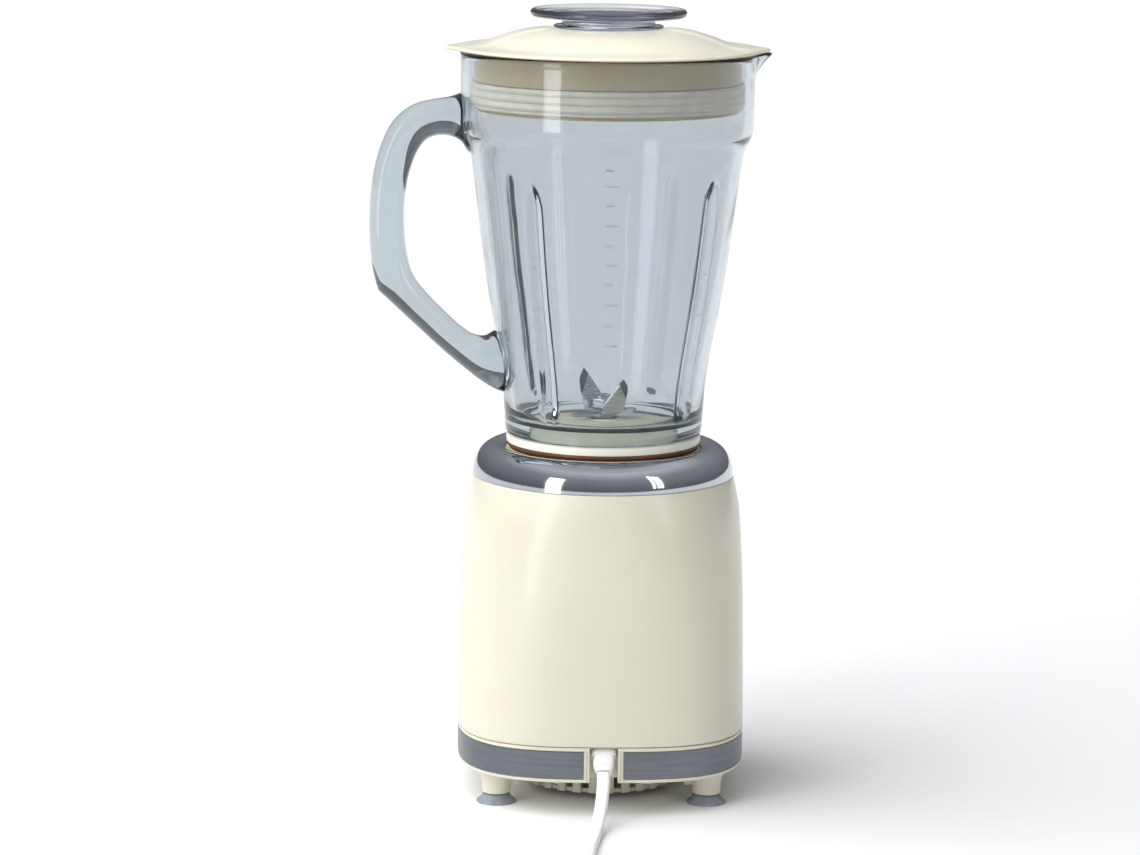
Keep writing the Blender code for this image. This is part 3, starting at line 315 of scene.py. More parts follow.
# %% The lead as one curve
def draw_lead():
    curve = bpy.data.curves.new("lead_cord", "CURVE")
    curve.dimensions = "3D"
    curve.twist_mode = "Z_UP"
    curve.bevel_depth = CORD_THICK / 2
    curve.extrude = (CORD_WIDTH - CORD_THICK) / 2
    curve.bevel_resolution = 4
    curve.use_fill_caps = True
    spline = curve.splines.new("POLY")
    spline.points.add(len(route) - 1)
    for point, spot, (_, _, _, tilt) in zip(spline.points, spots, route):
        point.co = (*spot, 1)
        point.tilt = tilt
    spline.use_smooth = True
    curve.materials.append(white_pvc)
    lead = bpy.data.objects.new("lead_cord", curve)
    scene.collection.objects.link(lead)
    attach(lead, "base")
    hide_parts("mains_cord", "cord_coil", "cord_tail")
    return lead


lead = draw_lead()
print("lead section", CORD_WIDTH * 1000, "x", CORD_THICK * 1000, "mm")


# %% [markdown]
# ## Making pieces
# Most of the blender is turned on one axis, as its moulds were. A profile of radius and height is
# spun about that axis with `bmesh.ops.spin`. Below the shoulder the base changes from a circle to
# a rounded square, and there the spun points are moved out to a superellipse. Bars and plugs are
# drawn: a ring is extruded along a path and changed at each station. Booleans join and cut.

# %% Mesh helpers
def soften(mesh, sharp):
    mesh.shade_smooth()
    mesh.set_sharp_from_angle(angle=math.radians(sharp))


def set_piece(name, form, material, body, *nodes, slot=None, sharp=35, shift=None):
    """Welds a form, turns its faces out and sets it by the jug's axis, riding on a body."""
    bmesh.ops.remove_doubles(form, verts=form.verts, dist=2e-6)
    bmesh.ops.recalc_face_normals(form, faces=form.faces)
    bmesh.ops.translate(form, vec=JUG_AXIS if shift is None else shift, verts=form.verts)
    mesh = bpy.data.meshes.new(name)
    form.to_mesh(mesh)
    form.free()
    soften(mesh, sharp)
    mesh.materials.append(material)
    piece = bpy.data.objects.new(name, mesh)
    scene.collection.objects.link(piece)
    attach(piece, body)
    if nodes:
        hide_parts(*nodes)
    size = [round(1000 * v, 1) for v in piece.dimensions]
    print(f"{name}: {len(mesh.polygons)} faces, {size} mm")
    return piece


def turned(profile, steps=128):
    """A form spun from a (radius, height) profile: closed into a ring unless it ends on the axis."""
    form = bmesh.new()
    corners = [form.verts.new((r, 0, z)) for r, z in profile]
    edges = [form.edges.new(pair) for pair in zip(corners, corners[1:])]
    if profile[0][0] > 0 or profile[-1][0] > 0:
        edges.append(form.edges.new((corners[-1], corners[0])))
    bmesh.ops.spin(
        form,
        geom=corners + edges,
        cent=(0, 0, 0),
        axis=(0, 0, 1),
        angle=math.tau,
        steps=steps,
        use_merge=True,
    )
    bmesh.ops.remove_doubles(form, verts=form.verts, dist=2e-6)
    return form


def reach_of(angle, power):
    """How far out a superellipse of half-width 1 lies: power 2 is a circle, 3 a rounded square."""
    return (abs(math.cos(angle)) ** power + abs(math.sin(angle)) ** power) ** (-1 / power)


def square_up(form, power_at):
    """Moves a turned form's points out to the superellipse whose power depends on the height."""
    for corner in form.verts:
        reach = reach_of(math.atan2(corner.co.y, corner.co.x), power_at(corner.co.z))
        corner.co.x *= reach
        corner.co.y *= reach
    return form


def drawn(stations, power=2.0, sides=24):
    """A solid drawn through stations, each the matrix that sets a unit section in its place."""
    form = bmesh.new()
    bmesh.ops.create_circle(form, cap_ends=True, segments=sides, radius=1.0)
    for corner in form.verts:
        corner.co *= reach_of(math.atan2(corner.co.y, corner.co.x), power)
    bmesh.ops.transform(form, matrix=stations[0], verts=form.verts)
    rim = list(form.edges)
    for before, after in zip(stations, stations[1:]):
        grown = bmesh.ops.extrude_edge_only(form, edges=rim)["geom"]
        corners = [item for item in grown if isinstance(item, bmesh.types.BMVert)]
        rim = [item for item in grown if isinstance(item, bmesh.types.BMEdge)]
        bmesh.ops.transform(form, matrix=after @ before.inverted(), verts=corners)
    bmesh.ops.edgeloop_fill(form, edges=rim)
    return form


def section(place, across, up, half_across, half_up):
    """The matrix that sets a unit section at a place, with its half-sizes along two directions."""
    across, up = Vector(across).normalized(), Vector(up).normalized()
    onward = across.cross(up)
    columns = (across * half_across, up * half_up, onward, Vector(place))
    return Matrix([[*(column[i] for column in columns)] for i in range(3)] + [[0, 0, 0, 1]])


def block(low, high, bevel=0.0, segments=2, place=None):
    """A block between two corners with rounded edges, moved by a matrix if one is given."""
    low, high = Vector(low), Vector(high)
    form = bmesh.new()
    bmesh.ops.create_cube(form, size=1.0)
    bmesh.ops.scale(form, vec=high - low, verts=form.verts)
    bmesh.ops.translate(form, vec=(low + high) / 2, verts=form.verts)
    if bevel:
        bmesh.ops.bevel(
            form,
            geom=list(form.edges),
            offset=bevel,
            segments=segments,
            affect="EDGES",
            profile=0.5,
            material=-1,
        )
    if place is not None:
        bmesh.ops.transform(form, matrix=place, verts=form.verts)
    return form


def gather(forms):
    """Several forms as one."""
    whole = bmesh.new()
    for form in forms:
        bmesh.ops.recalc_face_normals(form, faces=form.faces)
        mesh = bpy.data.meshes.new("part")
        form.to_mesh(mesh)
        form.free()
        whole.from_mesh(mesh)
        bpy.data.meshes.remove(mesh)
    return whole


def carve(piece, form, operation="DIFFERENCE", sharp=35):
    """Cuts a form out of a piece, or joins it on, and keeps the result as the piece's mesh."""
    bmesh.ops.recalc_face_normals(form, faces=form.faces)
    bmesh.ops.translate(form, vec=JUG_AXIS, verts=form.verts)
    mesh = bpy.data.meshes.new("tool")
    form.to_mesh(mesh)
    form.free()
    tool = bpy.data.objects.new("tool", mesh)
    scene.collection.objects.link(tool)
    change = piece.modifiers.new("carve", "BOOLEAN")
    change.operation, change.object = operation, tool
    change.solver, change.use_self = "EXACT", True
    graph = bpy.context.evaluated_depsgraph_get()
    shaped = bpy.data.meshes.new_from_object(piece.evaluated_get(graph))
    piece.modifiers.clear()
    shaped.name = piece.name
    piece.data = shaped
    soften(shaped, sharp)
    bpy.data.objects.remove(tool, do_unlink=True)
    return piece


QUARTERS = ((1, 1), (-1, 1), (-1, -1), (1, -1))
print("helpers ready")

# %% [markdown]
# ## Finishes of the base
# The housing is injection-moulded ABS with a high gloss. A steel mould never comes out quite
# even, so the gloss wavers a little over a few centimetres, and a very fine orange peel of about
# a millimetre breaks up the reflections. The shoulder is ABS too, plated with bright chromium:
# a mirror that looks dark and blue-grey by the room it mirrors. The band is ferritic stainless
# steel with a satin grind that runs round the base, so its grain is long across and very short
# up and down. The base colours of the ivory, the chrome and the steel are set darker than these
# finishes measure: painted shade.

# %% Ivory ABS, chrome plate and satin steel
# Its base colour is set darker than the same ABS on the lid and the collar's rim: painted shade over
# the whole base.
ivory_abs, tree, shader = finish_of("glossy_moulded_ivory_abs", "#D9D5C2", 0.3, Coat_Weight=0.25)
shader.inputs["Coat Roughness"].default_value = 0.08
vary_colour(tree, shader, grain(tree, 42.0, detail=2.0), "#D8D4C1", "#DAD6C3")
vary_roughness(tree, shader, grain(tree, 7.0), 0.26, 0.36)
raise_surface(tree, shader, grain(tree, 1.1, detail=1.0), 0.012, 0.35)

# Its base colour is set a little darker than chromium plate: painted shade, dimming what it mirrors.
chrome_plate, tree, shader = finish_of("bright_chromium_plate", "#BCC0C6", 0.07, 1.0)
vary_colour(tree, shader, grain(tree, 30.0, detail=1.0), "#B8BCC2", "#C2C5CA")
vary_roughness(tree, shader, grain(tree, 5.0), 0.05, 0.1)
raise_surface(tree, shader, grain(tree, 18.0, detail=0.0), 0.06, 0.2)

# Its base colour is set far darker than stainless steel: painted shade.
satin_steel, tree, shader = finish_of("satin_ground_stainless_steel", "#74787E", 0.3, 1.0)
shader.inputs["Anisotropic"].default_value = 0.45
brushing = grain(tree, 0.4, stretch=(0.012, 0.012, 1.0), detail=2.0)
vary_colour(tree, shader, brushing, "#6D7177", "#7B7F85")
vary_roughness(tree, shader, brushing, 0.24, 0.38)
raise_surface(tree, shader, brushing, 0.01, 0.4)
print("base finishes:", ivory_abs.name, chrome_plate.name, satin_steel.name)

# %% [markdown]
# ## Housing
# One moulded shell. It is round where it meets the chrome shoulder and squares up gradually
# towards the bottom, while its sides swell a little. The profile is spun and then moved out to a
# superellipse whose power rises with the depth below the top edge.

# %% The ivory shell
BASE_TOP, BASE_SPLIT, BASE_HALF, WALL = 0.1591, 0.0350, 0.0719, 0.0025
KNOB_HEIGHT = 0.0950


def base_power(height):
    share = (BASE_TOP - height) / (BASE_TOP - BASE_SPLIT)
    return 2 + max(0.0, min(1.0, share)) ** 0.8


sides = [
    (0.06556, 0.1585),
    (0.0674, 0.1500),
    (0.0689, 0.1400),
    (0.0706, 0.1120),
    (0.0712, 0.0900),
    (0.0716, 0.0620),
    (0.07188, 0.0360),
]
outer = smooth_line(sides, 0.004)
inner = [[r - WALL, z] for r, z in reversed(outer)]
profile = [(0.0632, BASE_TOP), (0.0653, BASE_TOP), *outer, (0.0717, 0.03525), (0.0713, BASE_SPLIT)]
profile += [(0.0694, BASE_SPLIT), *inner]
form = square_up(turned(profile, 160), base_power)
housing = set_piece("housing", form, ivory_abs, "base", "body_shell", slot="ivory")
SPINDLE_HOLE = 0.0062
hole = drawn(
    [
        section((0, y, KNOB_HEIGHT), (1, 0, 0), (0, 0, 1), SPINDLE_HOLE, SPINDLE_HOLE)
        for y in (-0.080, -0.060)
    ],
    sides=48,
)
carve(housing, hole)
print("wall", WALL * 1000, "mm, hole for the spindle", 2000 * SPINDLE_HOLE, "mm")

# %% [markdown]
# ## Chrome shoulder
# A plated ring that hides the joint of housing and socket. Its section is a smooth shoulder with
# a turned-down lip at the jug's side, so that it mirrors the room in long curved bands.

# %% The plated ring
shoulder = [
    (0.0500, 0.1731),
    (0.0520, 0.17385),
    (0.0545, 0.1742),
    (0.0570, 0.17385),
    (0.0600, 0.1723),
    (0.0625, 0.1696),
    (0.0643, 0.1660),
    (0.0652, 0.1625),
    (0.0655, 0.1595),
]
top = smooth_line(shoulder, 0.0012)
under = [[r - 0.0014, z - 0.0009] for r, z in reversed(top[4:-6])]
profile = [(0.0491, 0.1726), (0.0494, 0.1729), *top, (0.0654, 0.15935), (0.0641, 0.15935), *under]
profile += [(0.0491, 0.1713)]
set_piece(
    "chrome_shoulder", turned(profile, 192), chrome_plate, "base", "chrome_top", slot="chrome"
)

# %% [markdown]
# ## Socket
# The cream cup that the jug's collar drops into: a lip that shows as a thin ring above the chrome,
# four keys that stop the collar from turning, and four posts that carry the motor below.

# %% Cream polypropylene and the cup
# Moulded polypropylene: a softer shine than the ABS, and slightly see-through at thin edges.
cream_pp, tree, shader = finish_of("moulded_cream_polypropylene", "#E9E0C8", 0.4)
vary_colour(tree, shader, grain(tree, 25.0), "#E4DAC0", "#EDE5CF")
vary_roughness(tree, shader, grain(tree, 3.0), 0.34, 0.48)
raise_surface(tree, shader, grain(tree, 0.8), 0.02, 0.4)

SOCKET_FLOOR, SOCKET_LIP = 0.1486, 0.1725
profile = [
    (0.0464, SOCKET_LIP - 0.0006),
    (0.0469, SOCKET_LIP),
    (0.0484, SOCKET_LIP),
    (0.0487, SOCKET_LIP - 0.0004),
    (0.0487, 0.1588),
    (0.0626, 0.1588),
    (0.0626, 0.1562),
    (0.0487, 0.1562),
    (0.0487, SOCKET_FLOOR - 0.0026),
    (0.0080, SOCKET_FLOOR - 0.0026),
    (0.0080, SOCKET_FLOOR),
    (0.0456, SOCKET_FLOOR),
    (0.0464, SOCKET_FLOOR + 0.0008),
]
socket = set_piece(
    "jug_socket_cup", turned(profile, 128), cream_pp, "base", "jug_socket", slot="cream"
)
extras = []
for quarter in range(4):
    face = Matrix.Rotation(math.pi * (quarter + 0.5) / 2, 4, "Z")
    extras.append(block((0.0428, -0.0030, 0.1484), (0.0476, 0.0030, 0.1624), 0.0006, place=face))
for sx, sy in QUARTERS:
    stations = [
        section((sx * 0.030, sy * 0.032, z), (1, 0, 0), (0, 1, 0), 0.004, 0.004)
        for z in (0.1180, 0.1470)
    ]
    extras.append(drawn(stations))
carve(socket, gather(extras), "UNION")
print("keys and posts:", len(extras))

# %% [markdown]
# ## Base ring and steel band
# The ivory ring under the housing has a rim, a shallow seat for the steel band and a lip. At the
# back a block holds the lead: an open pocket with a slanted ceiling, where the cord clamp sits.
# The band is a strip of steel bent round the seat and open at that block, so it is spun as a
# closed ring and then cut.

# %% Ring, pocket and clamp hole
profile = [
    (0.0712, 0.0347),
    (0.0717, 0.03445),
    (0.0719, 0.0340),
    (0.0719, 0.0333),
    (0.0717, 0.0330),
    (0.0708, 0.0330),
    (0.0708, 0.0188),
    (0.0715, 0.0188),
    (0.0717, 0.0186),
    (0.0716, 0.0176),
    (0.0711, 0.0171),
    (0.0693, 0.0171),
    (0.0693, 0.0206),
    (0.0675, 0.0206),
    (0.0675, 0.0347),
]
form = square_up(turned(profile, 160), lambda height: 3)
base_ring = set_piece("base_ring", form, ivory_abs, "base", "base_frame", slot="ivory")
POCKET_HALF, BLOCK_HALF = 0.0070, 0.0096
carve(base_ring, block((-BLOCK_HALF, 0.0575, 0.0172), (BLOCK_HALF, 0.0718, 0.0346), 0.0003), "UNION")


def prism(outline, half_width):
    """An outline in the YZ plane, extruded sideways about the middle."""
    form = bmesh.new()
    face = form.faces.new([form.verts.new((-half_width, y, z)) for y, z in outline])
    grown = bmesh.ops.extrude_face_region(form, geom=[face])["geom"]
    corners = [item for item in grown if isinstance(item, bmesh.types.BMVert)]
    bmesh.ops.translate(form, vec=(2 * half_width, 0, 0), verts=corners)
    return form


pocket = [(0.075, 0.015), (0.075, 0.036), (0.0698, 0.036), (0.060, 0.0262), (0.060, 0.015)]
carve(base_ring, prism(pocket, POCKET_HALF))
exit_way = Vector((0, math.cos(EXIT_TILT), -math.sin(EXIT_TILT)))
clamp_up = Vector((0, math.sin(EXIT_TILT), math.cos(EXIT_TILT)))
clamp_face = EXIT - 0.0118 * exit_way
slot_cut = [
    section(clamp_face + s * exit_way, clamp_up.cross(exit_way), clamp_up, 0.0043, 0.0033)
    for s in (-0.010, 0.002)
]
carve(base_ring, drawn(slot_cut, power=4))
grooves = [
    block((side * 0.0083 - 0.0002, 0.0714, 0.010), (side * 0.0083 + 0.0002, 0.073, 0.0340))
    for side in (-1, 1)
]
carve(base_ring, gather(grooves))

band_line = [(0.0717, 0.0326), (0.0717, 0.0192), (0.0711, 0.0192), (0.0711, 0.0326)]
BAND_OPENING = 0.0202
form = square_up(turned(band_line, 160), lambda height: 3)
steel_band = set_piece("steel_band", form, satin_steel, "base", "metal_band", slot="steel")
carve(steel_band, block((-BAND_OPENING / 2, 0.060, 0.010), (BAND_OPENING / 2, 0.080, 0.040)))
print("band opening", 1000 * BAND_OPENING, "mm, pocket", 2000 * POCKET_HALF, "mm")

# %% [markdown]
# ## Bottom cover and feet
# Under the base hang a round drum of vent bars, below the fan, and four posts with suction cups.
# The bars are one block, copied round the drum with spin. The cups are soft grey TPE, with a thin
# flared rim.

# %% Cover, vent drum and posts
COVER_LOW, COVER_HIGH, DRUM_RADIUS, DRUM_LOW, BARS = 0.0174, 0.0202, 0.040, 0.0034, 30
plate = [
    (0.0375, COVER_HIGH),
    (0.0688, COVER_HIGH),
    (0.0690, COVER_LOW + 0.0003),
    (0.0686, COVER_LOW),
    (0.0375, COVER_LOW),
]
form = square_up(turned(plate, 120), lambda height: 3)
for corner in form.verts:
    flat = math.hypot(corner.co.x, corner.co.y)
    if flat < 0.060:
        corner.co.x *= 0.0375 / flat
        corner.co.y *= 0.0375 / flat
cover = set_piece("base_cover", form, ivory_abs, "base", "bottom_cover", slot="ivory")
bars = block((0.0374, -0.0021, DRUM_LOW), (DRUM_RADIUS, 0.0021, 0.0185), 0.0003)
bmesh.ops.spin(
    bars,
    geom=list(bars.verts) + list(bars.edges) + list(bars.faces),
    cent=(0, 0, 0),
    axis=(0, 0, 1),
    angle=math.tau * (BARS - 1) / BARS,
    steps=BARS - 1,
    use_duplicate=True,
)
disc = [(0, 0.0054), (0.0382, 0.0054), (0.0382, DRUM_LOW + 0.0003), (0.0379, DRUM_LOW), (0, DRUM_LOW)]
ring = [(0.0374, 0.0190), (0.0374, 0.0150), (0.0392, 0.0150), (0.0392, 0.0190)]
post = [
    (0, 0.0186),
    (0.0112, 0.0186),
    (0.0098, 0.0168),
    (0.0082, 0.0142),
    (0.0074, 0.0118),
    (0.0071, 0.0080),
    (0.00705, 0.0053),
    (0.0066, 0.0049),
    (0, 0.0049),
]
well = [(0, 0.0090), (0.0029, 0.0090), (0.0029, 0.0040), (0, 0.0040)]
screw_hole = [(0, 0.0250), (0.0023, 0.0250), (0.0023, 0.0100), (0, 0.0100)]
posts, wells = [], []
for sx, sy in QUARTERS:
    places = ((post, 48, 0.0523, 0.0416, posts), (well, 24, 0.0523, 0.0416, wells))
    for line, steps, x, y, forms in (*places, (screw_hole, 24, 0.0220, 0.0610, wells)):
        form = turned(line, steps)
        bmesh.ops.translate(form, vec=(sx * x, sy * y, 0), verts=form.verts)
        forms.append(form)
    low = (min(sx * 0.041, sx * 0.050), sy * 0.036 - 0.0055, 0.0085)
    high = (max(sx * 0.041, sx * 0.050), sy * 0.036 + 0.0055, 0.0182)
    posts.append(block(low, high, 0.0007))
carve(cover, gather([bars, turned(disc, 120), turned(ring, 120), *posts]), "UNION")
wells.append(block((-0.0094, 0.0571, 0.010), (0.0094, 0.080, 0.030)))
carve(cover, gather(wells))
print("vent bars", BARS, "posts", 4)

# %% Grey TPE suction feet
# Moulded thermoplastic rubber: almost no shine, and a fine dusty grain.
grey_tpe, tree, shader = finish_of("soft_grey_thermoplastic_rubber", "#8F959D", 0.6)
vary_colour(tree, shader, grain(tree, 4.0), "#868C95", "#989EA6")
raise_surface(tree, shader, grain(tree, 0.4), 0.02, 0.6)
cup = [
    (0, 0.0088),
    (0.0025, 0.0088),
    (0.0026, 0.0086),
    (0.0026, 0.0046),
    (0.0062, 0.0043),
    (0.0069, 0.0036),
    (0.0078, 0.0021),
    (0.0096, 0.0010),
    (0.0098, 0.0006),
    (0.0098, 0.0001),
    (0.0095, 0),
    (0.0084, 0),
    (0.0062, 0.0009),
    (0.0040, 0.0014),
    (0, 0.0018),
]
for number, (sx, sy) in enumerate(((1, 1), (-1, 1), (-1, -1), (1, -1)), 1):
    form = turned(cup, 56)
    place = JUG_AXIS + Vector((sx * 0.0523, sy * 0.0416, 0))
    node_name = f"suction_foot_{number}"
    name = f"suction_cup_{number}"
    set_piece(name, form, grey_tpe, "base", node_name, slot="rubber", sharp=50, shift=place)

# %% [markdown]
# ## Cord clamp, tie and plug
# The clamp is a stepped moulding of white PVC at a slant, tapered to the cord. The plug is the
# usual two-pin one with a waist to grip, and brass pins. The clamp and the plug are drawn
# through stations.

# %% Clamp
CLAMP = [  # half across, half up, distance along the clamp from its outer face
    (0.0040, 0.0026, -0.0120),
    (0.0046, 0.0032, -0.0064),
    (0.0055, 0.0043, -0.0062),
    (0.0055, 0.0043, -0.0033),
    (0.0041, 0.0031, -0.0031),
    (0.0041, 0.0031, 0.0),
    (0.0060, 0.0043, 0.0001),
    (0.00625, 0.0045, 0.0004),
    (0.00625, 0.0045, 0.0030),
    (0.0060, 0.0043, 0.0033),
    (0.0051, 0.0039, 0.0034),
    (0.0051, 0.0038, 0.0078),
    (0.0048, 0.0034, 0.0083),
    (0.0040, 0.0024, 0.0115),
]
across = clamp_up.cross(exit_way)
stations = [section(clamp_face + s * exit_way, across, clamp_up, a, b) for a, b, s in CLAMP]
form = drawn(stations, power=4, sides=48)
clamp = set_piece("cord_clamp", form, white_pvc, "base", "strain_relief", slot="white", sharp=40)

# %% Tie
# A strap of soft black vinyl over wire, as cords are tied with in the box.
black_vinyl, tree, shader = finish_of("soft_black_vinyl", "#1C1C1D", 0.5)
vary_roughness(tree, shader, grain(tree, 1.0), 0.4, 0.6)
raise_surface(tree, shader, grain(tree, 0.5), 0.03, 0.5)
tie_middle = COIL_CENTRE + Vector((0, 0.0330, 0))
TIE_REACH, TIE_THICK, TIE_TOP, TIE_HALF = 0.0068, 0.0007, 0.0149, 0.0030


def strap_loop(reach, low, high):
    """A rounded rectangle in the plane across the turns."""
    form = block((-TIE_HALF, -reach, low), (TIE_HALF, reach, high))
    long_edges = [e for e in form.edges if abs(e.verts[0].co.x - e.verts[1].co.x) > TIE_HALF]
    bmesh.ops.bevel(
        form,
        geom=long_edges,
        offset=0.0018,
        segments=5,
        affect="EDGES",
        profile=0.5,
        material=-1,
    )
    bmesh.ops.translate(form, vec=tie_middle, verts=form.verts)
    return form


form = strap_loop(TIE_REACH + TIE_THICK, 0.0001, TIE_TOP + TIE_THICK)
tie = set_piece("coil_tie", form, black_vinyl, "base", "cord_tie", slot="black")
way = strap_loop(TIE_REACH, 0.0001 + TIE_THICK, TIE_TOP)
bmesh.ops.translate(way, vec=-tie_middle, verts=way.verts)
bmesh.ops.scale(way, vec=(2, 1, 1), verts=way.verts)
bmesh.ops.translate(way, vec=tie_middle, verts=way.verts)
carve(tie, way)

# %% Plug and pins
# The pins are drawn brass: warm, bright and slightly scratched by the socket.
turned_brass, tree, shader = finish_of("drawn_brass", "#D9B46A", 0.26, 1.0)
vary_colour(tree, shader, grain(tree, 3.0), "#CFA85C", "#E0BD77")
vary_roughness(tree, shader, grain(tree, 0.5, stretch=(1, 0.05, 1)), 0.2, 0.36)
PLUG = Vector((-0.0800, 0.2400, 0.0070))
PLUG_BODY = [  # half across, half up, distance from the boot's end
    (0.0041, 0.0025, 0.0),
    (0.0044, 0.0028, 0.0006),
    (0.0052, 0.0034, 0.0050),
    (0.0062, 0.0042, 0.0090),
    (0.0080, 0.0054, 0.0106),
    (0.0108, 0.0066, 0.0126),
    (0.0118, 0.0069, 0.0150),
    (0.0118, 0.0069, 0.0165),
    (0.0112, 0.0064, 0.0200),
    (0.0111, 0.0063, 0.0230),
    (0.0115, 0.0066, 0.0270),
    (0.0118, 0.0069, 0.0300),
    (0.0118, 0.0069, 0.0322),
    (0.0114, 0.0065, 0.0330),
]
stations = [section(PLUG + Vector((0, -s, 0)), (1, 0, 0), (0, 0, 1), a, b) for a, b, s in PLUG_BODY]
form = drawn(stations, power=4, sides=48)
plug = set_piece("mains_plug", form, white_pvc, "base", "plug_body", slot="white", sharp=40)
ribs = []
for row in range(5):
    for side in (-1, 1):
        middle = PLUG + Vector((0, -0.0180 - 0.0022 * row, side * 0.0064))
        half = Vector((0.0070, 0.0004, 0.0006))
        ribs.append(block(middle - half, middle + half, 0.0003))
carve(plug, gather(ribs), "UNION", 40)
for side, node_name in ((1, "plug_pin_left"), (-1, "plug_pin_right")):
    middle = PLUG + Vector((side * 0.00635, 0, 0))
    low = middle + Vector((-0.00075, -0.0500, -0.0031))
    high = middle + Vector((0.00075, -0.0325, 0.0031))
    name = node_name.replace("plug_pin", "brass_pin")
    pin = set_piece(name, block(low, high, 0.0005), turned_brass, "base", node_name, slot="brass")
    eye = [
        section(middle + Vector((x, -0.0465, 0)), (0, 1, 0), (0, 0, 1), 0.0015, 0.0015)
        for x in (-0.005, 0.005)
    ]
    carve(pin, drawn(eye))

print("lead declared:", round(cord_length, 3), "m")

# %% [markdown]
# ## Pressed glass
# The jug is soda-lime glass, pressed in one piece with its handle. In thin walls it only greys
# what lies behind it, but where light runs a long way inside it, at the rim, the spout and the
# roots of the handle, its iron turns it sea-green. So the surface has a light grey tint, and the
# inside absorbs red light slowly. Pressing leaves the skin faintly wavy over a centimetre or two.

# %% Glass and clear plastic
def clear_finish(name, surface, inside, density, roughness, index, wave_mm, wave_high):
    """Clear material that absorbs along the light's way and lets the lamps light what it holds."""
    material, tree, shader = finish_of(name, surface, roughness, IOR=index, Transmission_Weight=1.0)
    raise_surface(tree, shader, grain(tree, wave_mm, detail=0.0), wave_high, 0.5)
    path = node(tree, "ShaderNodeLightPath")
    open_way = node(tree, "ShaderNodeBsdfTransparent", {"Color": linear("#EDEFF0")})
    mixed = node(tree, "ShaderNodeMixShader", None, {"Fac": path.outputs["Is Shadow Ray"]})
    tree.links.new(shader.outputs["BSDF"], mixed.inputs[1])
    tree.links.new(open_way.outputs["BSDF"], mixed.inputs[2])
    absorbed = {"Color": linear(inside), "Density": density}
    depth = node(tree, "ShaderNodeVolumeAbsorption", absorbed)
    out = tree.nodes["Material Output"]
    tree.links.new(mixed.outputs["Shader"], out.inputs["Surface"])
    tree.links.new(depth.outputs["Volume"], out.inputs["Volume"])
    return material


pressed_glass = clear_finish(
    "pressed_soda_lime_glass", "#DFE2E5", "#C7D6D7", 40.0, 0.01, 1.52, 16.0, 0.25
)
# Styrene-acrylonitrile: harder and bluer than the glass, with a sharp moulded gloss.
clear_san = clear_finish(
    "clear_moulded_san_plastic", "#E8EBF1", "#BFC9DA", 26.0, 0.02, 1.56, 9.0, 0.1
)
print("clear finishes:", pressed_glass.name, clear_san.name)

# %% [markdown]
# ## Jug
# The mould gives the jug its outside, and a plunger its inside. So it is made the same way: an
# outer solid with the spout pulled out of its rim, joined with the handle, and then the plunger's
# form is taken out. The plunger has four grooves, which leave the upright ribs that break the
# whirl in the glass, each with a rounded top.

# %% Outside with its spout
RIM_TOP = 0.3702
outside = [
    (0.0727, 0.3600),
    (0.0726, 0.3450),
    (0.0724, 0.3340),
    (0.0717, 0.3295),
    (0.0700, 0.3258),
    (0.0683, 0.3225),
    (0.0675, 0.3190),
    (0.0663, 0.3110),
    (0.0644, 0.2960),
    (0.0613, 0.2710),
    (0.0575, 0.2460),
    (0.0529, 0.2210),
    (0.0507, 0.2060),
    (0.0500, 0.1950),
    (0.0492, 0.1830),
]
rim = [(0, RIM_TOP), (0.0715, RIM_TOP), (0.0724, 0.36995), (0.0730, 0.3692), (0.0731, 0.3682)]
rim += [(0.0729, 0.3666), (0.0728, 0.3650), (0.0728, 0.3634), (0.0727, 0.3617)]
foot = [(0.0489, 0.1809), (0.0480, 0.1799), (0.0470, 0.1796), (0.0431, 0.1796), (0.0430, 0.1600)]
profile = [*rim, *smooth_line(outside, 0.004), *foot, (0, 0.1600)]


def pull_spout(form, reach):
    """Draws the rim out to a narrow lip on the -X side."""
    for corner in form.verts:
        radius = math.hypot(corner.co.x, corner.co.y)
        if radius < 0.060 or corner.co.z < 0.3570:
            continue
        angle = abs(math.atan2(corner.co.y, -corner.co.x))
        lift = min(1.0, (corner.co.z - 0.3570) / 0.0125) ** 1.5
        pull = reach * lift * math.exp(-((angle / 0.105) ** 2))
        corner.co.x *= 1 + pull / radius
        corner.co.y *= 1 + pull / radius
    return form


JUG_STEPS = 240
form = pull_spout(turned(profile, JUG_STEPS), 0.0082)
jug = set_piece("pressed_jug", form, pressed_glass, "jug", "glass_jug", slot="glass", sharp=50)

